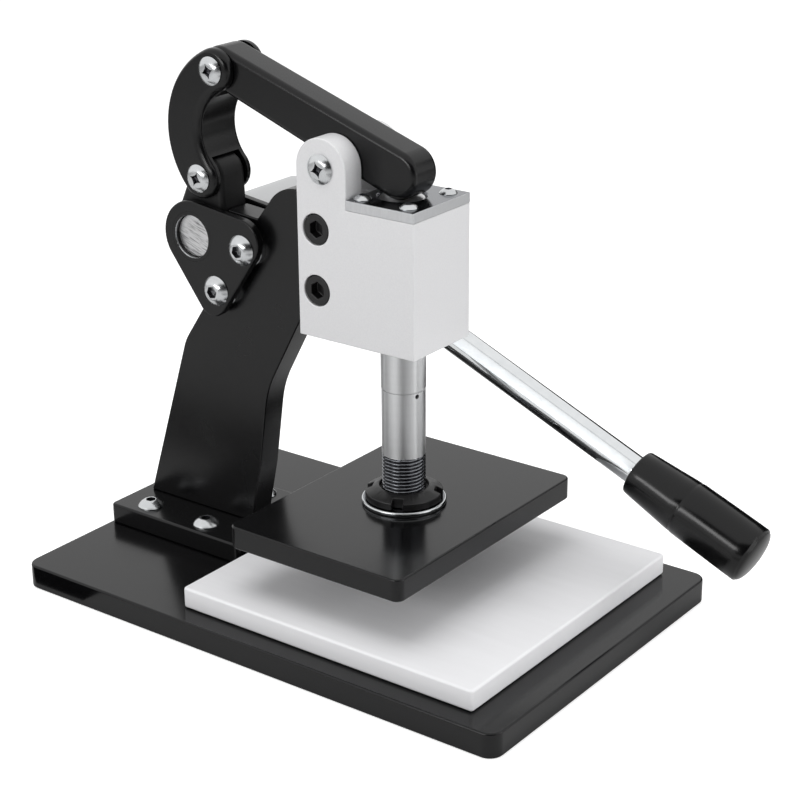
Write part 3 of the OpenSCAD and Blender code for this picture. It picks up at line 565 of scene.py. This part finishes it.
shape = merged_copy("top_plate")
for face in shape.faces:
    face.material_index = int(abs(face.normal.z) < ALONG)
plate = add_piece("top_plate_eased", shape, polished_steel, milled_steel)
ease(plate, PLATE_EDGE)
settle(plate, "top_plate")
washer = add_piece("nut_washer_eased", merged_copy("nut_washer"), polished_steel, zinc_plated_screw)
ease(washer, WASHER_EDGE).material = 1
settle(washer, "nut_washer")
print("milled faces:", sum(p.material_index == 1 for p in plate.data.polygons))

# %% [markdown]
# The bushes were pressed in before the plates were coated, so their faces are black. The first millimetre of the
# bore is wiped bright; deeper in, the bore keeps the black coat as painted shade. A cut round the bore parts the two
# finishes. The coat fills the joint between bush and plate, so the edges of that hole are hardly eased: the bevel
# takes its share from a weight on each edge.

# %% Bearing plates
BEARING_EDGE, HOLE_SHARE, HOLE_SLACK = 0.9, 0.1, 0.5 * MM

axle_low, axle_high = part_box("left_shaft_bush")
axle_middle, axle_r = (axle_low + axle_high) / 2, (axle_high[2] - axle_low[2]) / 2
for node in ("left_bearing_plate", "right_bearing_plate"):
    shape = merged_copy(node)
    share = shape.edges.layers.float.new("bevel_weight_edge")
    for line in shape.edges:
        off_axle = max((v.co - axle_middle).yz.length for v in line.verts)
        if line.calc_face_angle(0.0) > SHARP:
            line[share] = HOLE_SHARE if off_axle < axle_r + HOLE_SLACK else 1.0
    plate = add_piece(node + "_eased", shape, satin_powder_coat)
    ease(plate, BEARING_EDGE).limit_method = "WEIGHT"
    settle(plate, node)
print("shaft hole", round(axle_r / MM * 2, 1), "mm wide")

# %% Shaft bushes
BUSH_EDGE, BUSH_LIP = 0.1, 1.0 * MM

for node, outward in (("left_shaft_bush", -1.0), ("right_shaft_bush", 1.0)):
    shape = merged_copy(node)
    lip = max(v.co.x * outward for v in shape.verts) - BUSH_LIP
    bmesh.ops.bisect_plane(shape, geom=shape.verts[:] + shape.edges[:] + shape.faces[:],
                           plane_co=(lip * outward, 0, 0), plane_no=(1, 0, 0))
    for face in shape.faces:
        # Painted shade: the bore behind the bright lip keeps the black coat.
        in_lip = face.calc_center_median().x * outward > lip
        face.material_index = int(abs(face.normal.x) < ALONG and in_lip)
    bush = add_piece(node + "_eased", shape, satin_powder_coat, zinc_plated_screw)
    ease(bush, BUSH_EDGE)
    settle(bush, node)
print("bushes: 2")

# %% [markdown]
# The drive shaft's left end was left as the saw cut it, a millimetre longer than the drawing. The copy gets a second
# material on that end alone, found by the faces that lie at its left limit.

# %% Drive shaft with its sawn end
SHAFT_EDGE, SAWN_EXTRA, SAME_PLANE = 0.4, 1.0 * MM, 0.01 * MM

shape = merged_copy("drive_shaft")
left_end = min(v.co.x for v in shape.verts)
for face in shape.faces:
    face.material_index = int(all(abs(v.co.x - left_end) < SAME_PLANE for v in face.verts))
for vert in shape.verts:
    if vert.co.x < left_end + SAWN_EXTRA:
        vert.co.x -= SAWN_EXTRA
shaft = add_piece("drive_shaft_eased", shape, ground_steel, sawn_steel)
ease(shaft, SHAFT_EDGE)
settle(shaft, "drive_shaft")
print("sawn faces:", sum(p.material_index == 1 for p in shaft.data.polygons))

# %% [markdown]
# Round pieces are lofted: rings of points, one above the other, joined by faces. A recess is only a ring with another
# outline, a hexagon or a cross, so a screw head is one closed skin from the shank's tip to the bottom of the recess.

# %% Rings and lofts
def ring(radius, z, count=72):
    """Points of a ring. radius is a number in mm, or a function of the angle in degrees."""
    points = []
    for i in range(count):
        angle = 360.0 * i / count
        r = radius(angle) if callable(radius) else radius
        turn = math.radians(angle)
        points.append((r * math.cos(turn) * MM, r * math.sin(turn) * MM, z * MM))
    return points


def loft(rings):
    """Closed skin through the rings, from the first to the last, both capped."""
    shape = bmesh.new()
    rows = [[shape.verts.new(p) for p in points] for points in rings]
    for low, high in zip(rows, rows[1:]):
        for i in range(len(low)):
            j = (i + 1) % len(low)
            shape.faces.new((low[i], low[j], high[j], high[i]))
    shape.faces.new(reversed(rows[0]))
    shape.faces.new(rows[-1])
    bmesh.ops.recalc_face_normals(shape, faces=shape.faces)
    return shape


print("points in a ring:", len(ring(1.0, 0.0)))

# %% Outlines of recesses
# A power below one hollows the sides of a cross.
HOLLOW = 0.64


def hexagon(width):
    """Outline of a hexagon, by its width over flats."""
    return lambda angle: width / 2 / math.cos(math.radians((angle + 30) % 60 - 30))


def cross(length):
    """Outline of a cross recess by its length: a star of four arms that taper, with hollow sides."""
    def outline(angle):
        turn = math.radians(angle)
        return length / 2 / (abs(math.cos(turn)) ** HOLLOW + abs(math.sin(turn)) ** HOLLOW) ** (1 / HOLLOW)
    return outline


print("hexagon corner of a 6 mm key:", round(hexagon(6)(30), 2), "mm")

# %% [markdown]
# Link, lever and crank are cut from thick bar and generously rounded by grinding. Each is lofted through copies of
# its own outline, one behind the other: set in by the radius at the face, then less and less along a quarter circle.
# The link is a C as wide all along, with a fork milled into each end; the other two are belts round two circles.

# %% Rounded bars
BAR_EDGE, ARC_STEPS = 3.4, 6


def middle_of(node):
    """Middle of a solid's box in the side view, as Y and Z in mm."""
    low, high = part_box(node)
    return (low[1] + high[1]) / 2 / MM, (low[2] + high[2]) / 2 / MM


def belt(first, r_first, second, r_second, count=120):
    """Outline round two circles. Gives a function of the inset."""
    picks = []
    for i in range(count):
        y, z = math.cos(math.tau * i / count), math.sin(math.tau * i / count)
        lead = first[0] * y + first[1] * z + r_first > second[0] * y + second[1] * z + r_second
        picks.append((first, r_first, y, z) if lead else (second, r_second, y, z))
    return lambda inset: [(c[0] + (r - inset) * y, c[1] + (r - inset) * z) for c, r, y, z in picks]


def rounded_bar(name, outline, half, finish):
    """Bar along X from -half to half with that outline, its edges rounded."""
    turns = [math.pi / 2 * i / ARC_STEPS for i in range(ARC_STEPS + 1)]
    sides = [(half - BAR_EDGE * (1 - math.cos(t)), BAR_EDGE * (1 - math.sin(t))) for t in turns]
    layers = [(-x, inset) for x, inset in sides] + [(x, inset) for x, inset in reversed(sides)]
    rings = [[(x * MM, y * MM, z * MM) for y, z in outline(inset)] for x, inset in layers]
    return add_piece(name, loft(rings), finish)


print("bars are rounded by", BAR_EDGE, "mm")

# %% [markdown]
# Holes and forks are cut with booleans. The cutter is a solid of its own, which is taken out of the bar and
# cleared away. The exact solver is used, because it leaves clean edges.

# %% Cutters
CUT_SHARP = math.radians(35)


def peg(centre, radius, half=40.0):
    """Round cutter along X."""
    made = add_piece("peg", loft([ring(radius, -half, 48), ring(radius, half, 48)]), black_powder_coat)
    place = Matrix.Translation((0, centre[0] * MM, centre[1] * MM))
    made.data.transform(place @ Matrix.Rotation(math.pi / 2, 4, "Y"))
    return made


def cut(piece, cutters):
    """Takes the cutters out of the piece and clears them away."""
    for cutter in cutters:
        taken = piece.modifiers.new("cut", "BOOLEAN")
        taken.object, taken.operation, taken.solver = cutter, "DIFFERENCE", "EXACT"
    ready = piece.evaluated_get(bpy.context.evaluated_depsgraph_get())
    piece.data = bpy.data.meshes.new_from_object(ready)
    piece.modifiers.clear()
    for cutter in cutters:
        bpy.data.objects.remove(cutter)
    piece.data.set_sharp_from_angle(angle=CUT_SHARP)
    piece.modifiers.new("flat faces", "WEIGHTED_NORMAL").keep_sharp = True


print("cut edges over", round(math.degrees(CUT_SHARP)), "degrees stay sharp")

# %% Lever and crank
NOSE_R, TAIL_R, TAIL_LIFT = 13.0, 11.2, 0.8
PIVOT_HOLE_R, TAIL_HOLE_R = 6.05, 7.9
BOSS_R, CRANK_END_R = 19.0, 11.0
AXLE_HOLE_R, CRANK_PIN_HOLE_R = 12.02, 4.05

pins = ("lower_link_pin", "upper_link_pin", "lever_pin", "left_shaft_bush")
low_pin, top_pin, pivot, axle = map(middle_of, pins)
lever_low, lever_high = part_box("top_lever")
nose = (lever_low[1] / MM + NOSE_R, lever_low[2] / MM + NOSE_R)
tail = (top_pin[0], top_pin[1] + TAIL_LIFT)
lever_half, crank_half = lever_high[0] / MM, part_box("crank")[1][0] / MM
lever = rounded_bar("top_lever_rounded", belt(nose, NOSE_R, tail, TAIL_R), lever_half, satin_powder_coat)
cut(lever, [peg(pivot, PIVOT_HOLE_R), peg(top_pin, TAIL_HOLE_R)])
settle(lever, "top_lever")
crank = rounded_bar("crank_rounded", belt(axle, BOSS_R, low_pin, CRANK_END_R), crank_half, dry_powder_coat)
cut(crank, [peg(axle, AXLE_HOLE_R), peg(low_pin, CRANK_PIN_HOLE_R)])
settle(crank, "crank")
print("lever", round(lever_half * 2, 1), "mm wide, faces:", len(lever.data.polygons))

# %% [markdown]
# The link's outline is four arcs in a row: the outer side, the upper end, the inner side and the lower end. The
# inner edges were ground much rounder, so each arc says how much of the inset it takes.

# %% Outline of the toggle link
# Radius of the C's middle line, half its width, and how much of the bar's edge its outer and inner sides get.
BEND, BAND = 37.6, 11.7
OUTER_EASE, INNER_EASE = 0.6, 1.5

span = Vector(top_pin) - Vector(low_pin)
rearward = Vector((span.y, -span.x)).normalized()
hub = (Vector(low_pin) + Vector(top_pin)) / 2 - rearward * math.sqrt(BEND ** 2 - (span.length / 2) ** 2)
start_turn, end_turn = (math.atan2(p[1] - hub.y, p[0] - hub.x) for p in (low_pin, top_pin))
# Outer arc, upper end, inner arc and lower end: centre, radius, first and last angle, points, first and last share.
arcs = (
    (hub, BEND + BAND, start_turn, end_turn, 48, -OUTER_EASE, -OUTER_EASE),
    (top_pin, BAND, end_turn, end_turn + math.pi, 32, -OUTER_EASE, -INNER_EASE),
    (hub, BEND - BAND, end_turn, start_turn, 40, INNER_EASE, INNER_EASE),
    (low_pin, BAND, start_turn - math.pi, start_turn, 32, -INNER_EASE, -OUTER_EASE))


def c_outline(inset):
    """Outline of the C. The inner edges are rounded much more."""
    points = []
    for centre, radius, first, last, count, ease_first, ease_last in arcs:
        for i in range(count):
            share = (i + 0.5) / count
            turn = first + (last - first) * share
            r = radius + inset * (ease_first + (ease_last - ease_first) * share)
            points.append((centre[0] + r * math.cos(turn), centre[1] + r * math.sin(turn)))
    return points


print("link", round(span.length, 1), "mm between pins")

# %% Forked toggle link
ROOM_WIDTH, ROOM_ACROSS, ROOM_PAST = 22.0, 60.0, 20
LOW_ROOM, TOP_ROOM = 12.4, 15.1


def fork_room(pin, way, depth):
    """Box cutter between the cheeks, from past the pin to a depth towards the other one."""
    made = bmesh.new()
    size = Matrix.Diagonal((ROOM_WIDTH, ROOM_ACROSS, depth + ROOM_PAST, 1.0))
    bmesh.ops.create_cube(made, size=1.0, matrix=Matrix.Translation((0, 0, (depth - ROOM_PAST) / 2)) @ size)
    cutter = add_piece("fork room", made, black_powder_coat)
    lean = math.atan2(-span.x, span.y)
    turn = Matrix.Rotation(lean, 4, "X") @ Matrix.Diagonal((1.0, 1.0, way, 1.0))
    cutter.data.transform(Matrix.Translation((0, pin[0] * MM, pin[1] * MM)) @ turn @ Matrix.Scale(MM, 4))
    if way < 0:
        cutter.data.flip_normals()
    return cutter


link_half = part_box("toggle_link")[1][0] / MM
link = rounded_bar("toggle_link_rounded", c_outline, link_half, satin_powder_coat)
cut(link, [fork_room(low_pin, 1.0, LOW_ROOM), fork_room(top_pin, -1.0, TOP_ROOM)])
settle(link, "toggle_link")
print("link faces:", len(link.data.polygons))

# %% [markdown]
# Two kinds of screw hold the press: button heads with a hexagon socket, and wide truss heads with a cross recess.
# Each is modelled once, standing on z = 0 with its shank below.

# %% Shape of a screw
TIP_SHARE, RIM_EASE = 0.1, 0.3
LIP_WIDTH, LIP_TOP, LIP_DEPTH = 0.15, 0.02, 0.2
HEXAGON_DRAFT, CROSS_TAPER = 0.2, 0.66
FLOOR_SHARE, FLOOR_DIP = 0.3, 0.3
SCREW_SHARP = math.radians(32)


def dome(diameter, height, rim, stop, steps=7):
    """Rings of a domed head, from its rim up to radius stop."""
    ball = (diameter ** 2 / 4 + (height - rim) ** 2) / (2 * (height - rim))
    radii = [diameter / 2 + (stop - diameter / 2) * i / steps for i in range(steps + 1)]
    return [(r, rim + math.sqrt(ball ** 2 - r ** 2) - (ball - (height - rim))) for r in radii]


def screw(name, shank, shank_l, head, head_h, rim, key, size, depth, mouth):
    """Screw object for the node tree. key is the outline of the recess and size its width in mm."""
    crown = dome(head, head_h, rim, mouth)
    top = crown[-1][1]
    low = key(size - HEXAGON_DRAFT) if key is hexagon else key(size * CROSS_TAPER)
    tip = shank * TIP_SHARE
    rows = [ring(shank / 2 - tip, -shank_l), ring(shank / 2, -shank_l + tip), ring(shank / 2, 0.0)]
    rows += [ring(head / 2 - RIM_EASE, 0.0), ring(head / 2, RIM_EASE)]
    rows += [ring(r, z) for r, z in crown]
    rows += [ring(lambda angle: key(size)(angle) + LIP_WIDTH, top - LIP_TOP), ring(key(size), top - LIP_DEPTH)]
    rows += [ring(low, top - depth), ring(lambda angle: low(angle) * FLOOR_SHARE, top - depth - FLOOR_DIP)]
    piece = add_piece(name, loft(rows), zinc_plated_screw)
    # Painted shade in the recess: a hexagon's floor stays bright, a cross is painted dark to the bottom.
    mark_recess(piece, mouth, top, top - depth + (0.1 if key is hexagon else -0.5))
    piece.data.set_sharp_from_angle(angle=SCREW_SHARP)
    bpy.context.scene.collection.objects.unlink(piece)
    return piece


def mark_recess(piece, mouth, top, bottom):
    """Marks the faces inside the mouth that get the painted shade finish, between two heights."""
    high, reach = top - 0.03, mouth - 0.02
    inside = [bottom * MM < p.center.z < high * MM and p.center.xy.length < reach * MM for p in piece.data.polygons]
    piece.data.attributes.new("recess", "BOOLEAN", "FACE").data.foreach_set("value", inside)


print("screw edges over", round(math.degrees(SCREW_SHARP)), "degrees stay sharp")

# %% Sizes of the screws
screw_sizes = {
    "top_plate_screws": dict(
        shank=5, shank_l=13.5, head=9.5, head_h=2.8, rim=0.4, key=hexagon, size=3.0, depth=1.6, mouth=2.1),
    "foot_screws": dict(
        shank=8, shank_l=21.0, head=15, head_h=5.0, rim=0.8, key=hexagon, size=5.0, depth=2.8, mouth=3.5),
    "plate_screws": dict(
        shank=10, shank_l=14.5, head=17, head_h=5.2, rim=0.9, key=hexagon, size=6.0, depth=3.2, mouth=4.2),
    "link_pin_screws": dict(
        shank=4, shank_l=8, head=15.4, head_h=3.6, rim=0.6, key=cross, size=8.2, depth=1.6, mouth=4.6),
    "lever_pin_screws": dict(
        shank=6, shank_l=12, head=16, head_h=3.8, rim=0.6, key=cross, size=8.6, depth=1.7, mouth=4.8),
}
upright_screws = ("top_plate_screws", "foot_screws")
shapes = {node: screw(node.removesuffix("s"), **sizes) for node, sizes in screw_sizes.items()}
print("screw shapes:", ", ".join(shapes))

# %% [markdown]
# A small node tree sets the screws. It takes points that know which way they face and how far the key left each
# turned, puts one screw on each, makes the copies real and gives them their finish. One mesh comes out for each solid.

# %% Node tree that sets screws on points
setter = bpy.data.node_groups.new("set screws on points", "GeometryNodeTree")
setter.interface.new_socket("Points", in_out="INPUT", socket_type="NodeSocketGeometry")
screw_input = setter.interface.new_socket("Screw", in_out="INPUT", socket_type="NodeSocketObject")
finish_input = setter.interface.new_socket("Finish", in_out="INPUT", socket_type="NodeSocketMaterial")
# The Recess input takes the dark finish that paints shade into each recess.
recess_input = setter.interface.new_socket("Recess", in_out="INPUT", socket_type="NodeSocketMaterial")
setter.interface.new_socket("Screws", in_out="OUTPUT", socket_type="NodeSocketGeometry")
given = put(setter, "NodeGroupInput")
shown = put(setter, "GeometryNodeObjectInfo", {"Object": given.outputs["Screw"]})
facing = put(setter, "GeometryNodeInputNamedAttribute", {"Name": "facing"}, data_type="FLOAT_VECTOR")
turned = put(setter, "GeometryNodeInputNamedAttribute", {"Name": "turned"}, data_type="FLOAT")
aimed = put(setter, "FunctionNodeAlignRotationToVector", {"Vector": facing.outputs["Attribute"]}, axis="Z")
spun = put(setter, "FunctionNodeAxisAngleToRotation", {"Axis": (0, 0, 1), "Angle": turned.outputs["Attribute"]})
final = put(setter, "FunctionNodeRotateRotation", {0: aimed.outputs[0], 1: spun.outputs[0]}, rotation_space="LOCAL")
placed = put(setter, "GeometryNodeInstanceOnPoints", {
    "Points": given.outputs["Points"], "Instance": shown.outputs["Geometry"], "Rotation": final.outputs[0]})
real = put(setter, "GeometryNodeRealizeInstances", {0: placed.outputs[0]})
dressed = put(setter, "GeometryNodeSetMaterial", {"Geometry": real.outputs[0], "Material": given.outputs["Finish"]})
# Painted shade: the faces marked as recess get the Recess finish.
inner = put(setter, "GeometryNodeInputNamedAttribute", {"Name": "recess"}, data_type="BOOLEAN")
darkened = put(setter, "GeometryNodeSetMaterial", {
    "Geometry": dressed.outputs[0], "Selection": inner.outputs["Attribute"], "Material": given.outputs["Recess"]})
put(setter, "NodeGroupOutput", {"Screws": darkened.outputs[0]})
print("nodes in the tree:", len(setter.nodes))

# %% [markdown]
# Where the screws stand comes from the solids. A packed group holds several separate screws, so the mesh is
# walked from vertex to vertex until each is found, and its box tells the place of its head.

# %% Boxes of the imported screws
def solid_boxes(node):
    """Middle, low and high corner of each separate solid in a packed group, in a fixed order."""
    shape = bmesh.new()
    shape.from_mesh(frame["nodes"][node].data)
    bmesh.ops.remove_doubles(shape, verts=shape.verts, dist=WELD)
    left, boxes = set(shape.verts), []
    while left:
        island, front = set(), [left.pop()]
        while front:
            vert = front.pop()
            island.add(vert)
            linked = [e.other_vert(vert) for e in vert.link_edges]
            front += [v for v in linked if v in left]
            left -= set(linked)
        low = Vector([min(v.co[i] for v in island) for i in range(3)])
        high = Vector([max(v.co[i] for v in island) for i in range(3)])
        boxes.append(((low + high) / 2, low, high))
    shape.free()
    return sorted(boxes, key=lambda box: tuple(round(c, 4) for c in box[0]))


print("packed screws:", sum(len(solid_boxes(node)) for node in screw_sizes))

# %% Screws set on their seats
FIRST_TURN, NEXT_TURN = 17, 53


def seat_points(node):
    """Mesh of points on the seats under the heads, with the way each screw faces and how far it is turned."""
    axis = 2 if node in upright_screws else 0
    places, ways, turns = [], [], []
    for i, (mid, low, high) in enumerate(solid_boxes(node)):
        outward = -1.0 if axis == 0 and mid.x < 0 else 1.0
        seat = mid.copy()
        seat[axis] = (high[axis] if outward > 0 else low[axis]) - outward * screw_sizes[node]["head_h"] * MM
        places.append(seat)
        ways += [outward if axis == k else 0.0 for k in range(3)]
        turns.append(math.radians(FIRST_TURN + NEXT_TURN * i))
    mesh = bpy.data.meshes.new(node + "_points")
    mesh.from_pydata(places, [], [])
    mesh.attributes.new("facing", "FLOAT_VECTOR", "POINT").data.foreach_set("vector", ways)
    mesh.attributes.new("turned", "FLOAT", "POINT").data.foreach_set("value", turns)
    return mesh


for node, shape in shapes.items():
    source = bpy.data.objects.new(node + "_source", seat_points(node))
    bpy.context.scene.collection.objects.link(source)
    modifier = source.modifiers.new("screws", "NODES")
    modifier.node_group = setter
    modifier[screw_input.identifier] = shape
    modifier[finish_input.identifier] = zinc_plated_screw
    modifier[recess_input.identifier] = painted_shade_recess
    ready = source.evaluated_get(bpy.context.evaluated_depsgraph_get())
    piece = bpy.data.objects.new(node + "_set", bpy.data.meshes.new_from_object(ready))
    bpy.data.objects.remove(source)
    bpy.context.scene.collection.objects.link(piece)
    settle(piece, node)
    print(node, "faces:", len(piece.data.polygons))

# %% [markdown]
# The ram ends in a fine thread, cut on a lathe. Its skin is lofted like the screws, but the radius of each ring in
# the thread depends on the angle too, so the groove climbs by one pitch in each turn. The thread is painted dark,
# most in the groove: painted shade. Above it come the plain bar, the shoulder and the guide. The small cross hole for
# a tommy bar is drilled last, with a boolean.

# %% Skin of the ram
AROUND, TURN_STEPS = 80, 12
THREAD_L, THREAD_R, ROOT_R, PITCH, FLANK = 38.5, 11.7, 10.7, 2.0, 1.35
TIP_R, PLAIN_R, SHOULDER_H = 10.4, 11.75, 66
CHAMFER, LEAD_IN, RUN_OUT = 0.7, 0.8, 1.5

low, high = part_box("ram")
ram_x, ram_y = (low[0] + high[0]) / 2 / MM, (low[1] + high[1]) / 2 / MM
ram_low, ram_high = low[2] / MM, high[2] / MM
guide_r = (high[0] - low[0]) / 2 / MM
thread_top = ram_low + THREAD_L
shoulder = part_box("press_plate")[1][2] / MM + SHOULDER_H
ram_axis = Matrix.Translation((ram_x * MM, ram_y * MM, 0.0))


def groove(z):
    """Radius of the thread at height z, as a function of the angle. FLANK flattens the crest."""
    def radius(angle):
        flank = abs(2 * ((z / PITCH - angle / 360) % 1) - 1)
        return ROOT_R + (THREAD_R - ROOT_R) * min(1.0, FLANK * flank)
    return radius


steps = round((thread_top - ram_low - RUN_OUT) / PITCH * TURN_STEPS)
profile = [(TIP_R, ram_low), (ROOT_R, ram_low + CHAMFER)]
profile += [(groove(z), z) for z in (ram_low + LEAD_IN + PITCH * i / TURN_STEPS for i in range(steps))]
profile += [
    (THREAD_R - 0.1, thread_top - 0.4), (PLAIN_R - 0.2, thread_top), (PLAIN_R, thread_top + 0.2),
    (PLAIN_R, shoulder - 0.6), (PLAIN_R - 0.3, shoulder - 0.4), (PLAIN_R - 0.3, shoulder - 0.1),
    (guide_r - 0.1, shoulder), (guide_r, shoulder + 0.15),
    (guide_r, ram_high - 1.0), (guide_r - 0.3, ram_high - 0.35), (guide_r - 1.0, ram_high)]
shape = loft([ring(r, z, AROUND) for r, z in profile])
print("thread turns:", steps / TURN_STEPS)

# %% Ram with its finishes and cross hole
GROOVE_SHARE = 0.6
HOLE_R, HOLE_HALF, HOLE_TURN, HOLE_DROP = 1.2, 40, -16, 2.45

crest_r = ROOT_R + GROOVE_SHARE * (THREAD_R - ROOT_R)
# Painted shade on the thread: the groove gets the dark recess finish, the crest the dark steel.
for face in shape.faces:
    centre = face.calc_center_median()
    if centre.z < (thread_top - 0.3) * MM:
        face.material_index = 1 if centre.xy.length < crest_r * MM else 2
ram = add_piece("ram_threaded", shape, ram_steel, painted_shade_recess, polished_steel)
ram.data.transform(ram_axis)
drill = add_piece("drill", loft([ring(HOLE_R, -HOLE_HALF, 24), ring(HOLE_R, HOLE_HALF, 24)]), black_oxide_steel)
bore = Matrix.Rotation(math.radians(HOLE_TURN), 4, "Z") @ Matrix.Rotation(math.pi / 2, 4, "X")
drill.data.transform(ram_axis @ Matrix.Translation((0.0, 0.0, (shoulder - HOLE_DROP) * MM)) @ bore)
cut(ram, [drill])
settle(ram, "ram")
print("ram faces:", len(ram.data.polygons))

# %% [markdown]
# The round nut is held by a hook spanner in its four slots. The copy is eased like the plates, but finely, after a
# relief was bored round the thread, which shows as a dark ring.

# %% Lock nut
RELIEF_R, RELIEF_DEPTH, NUT_EDGE = 13.4, 2.6, 0.35

nut = add_piece("lock_nut_eased", merged_copy("lock_nut"), black_oxide_steel)
nut_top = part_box("lock_nut")[1][2] / MM
relief_rows = [ring(RELIEF_R, nut_top - RELIEF_DEPTH, AROUND), ring(RELIEF_R, nut_top + 1.0, AROUND)]
relief = add_piece("relief", loft(relief_rows), black_oxide_steel)
relief.data.transform(ram_axis)
cut(nut, [relief])
nut.modifiers.clear()
ease(nut, NUT_EDGE)
settle(nut, "lock_nut")
print("nut faces:", len(nut.data.polygons))

# %% [markdown]
# The grip is turned in the mind like a chair leg: a neck that flares, a fine crease, a straight barrel and a flat cap
# with a crisp rim, where the mould's core was. It is lofted upright and then laid along the rod.

# %% Grip
ROD_REACH, CAP_R, CAP_LOW, CAP_RISE = 264, 15.0, 74.5, 3.4
RIM_SHARP = math.radians(50)

profile = [
    (8.3, 0.4), (8.3, 0.0), (11.6, 0.0), (12.3, 0.3), (12.7, 1.2), (13.3, 8.0), (14.1, 18.0), (14.9, 27.0),
    (15.2, 31.2), (15.1, 31.7), (15.1, 32.2), (15.3, 32.7), (15.45, 34.0), (15.6, 44.0), (15.75, 56.0),
    (15.85, 68.0), (15.85, 73.6), (15.6, 74.2), (CAP_R, CAP_LOW)]
for angle in (12, 25, 40, 55, 70, 80, 88):
    turn = math.radians(angle)
    profile.append((CAP_R * math.cos(turn), CAP_LOW + CAP_RISE * math.sin(turn)))
grip = add_piece("handle_grip_turned", loft([ring(r, z, 96) for r, z in profile]), glossy_black_plastic)
axis_y, axis_z = middle_of("right_shaft_bush")
rod_low, rod_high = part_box("handle_rod")
rod_x = (rod_low[0] + rod_high[0]) / 2
lay_down = Matrix.Rotation(math.pi / 2 + math.radians(HANDLE_DROOP), 4, "X")
along_rod = Matrix.Translation((rod_x, axis_y * MM, axis_z * MM)) @ lay_down
grip.data.transform(along_rod @ Matrix.Translation((0, 0, ROD_REACH * MM)))
grip.data.set_sharp_from_angle(angle=RIM_SHARP)
settle(grip, "handle_grip")
print("grip rings:", len(profile), "faces:", len(grip.data.polygons))

# %% [markdown]
# At the end the colours are shown through the Standard view transform.

# %% View transform
bpy.context.scene.view_settings.view_transform = "Standard"
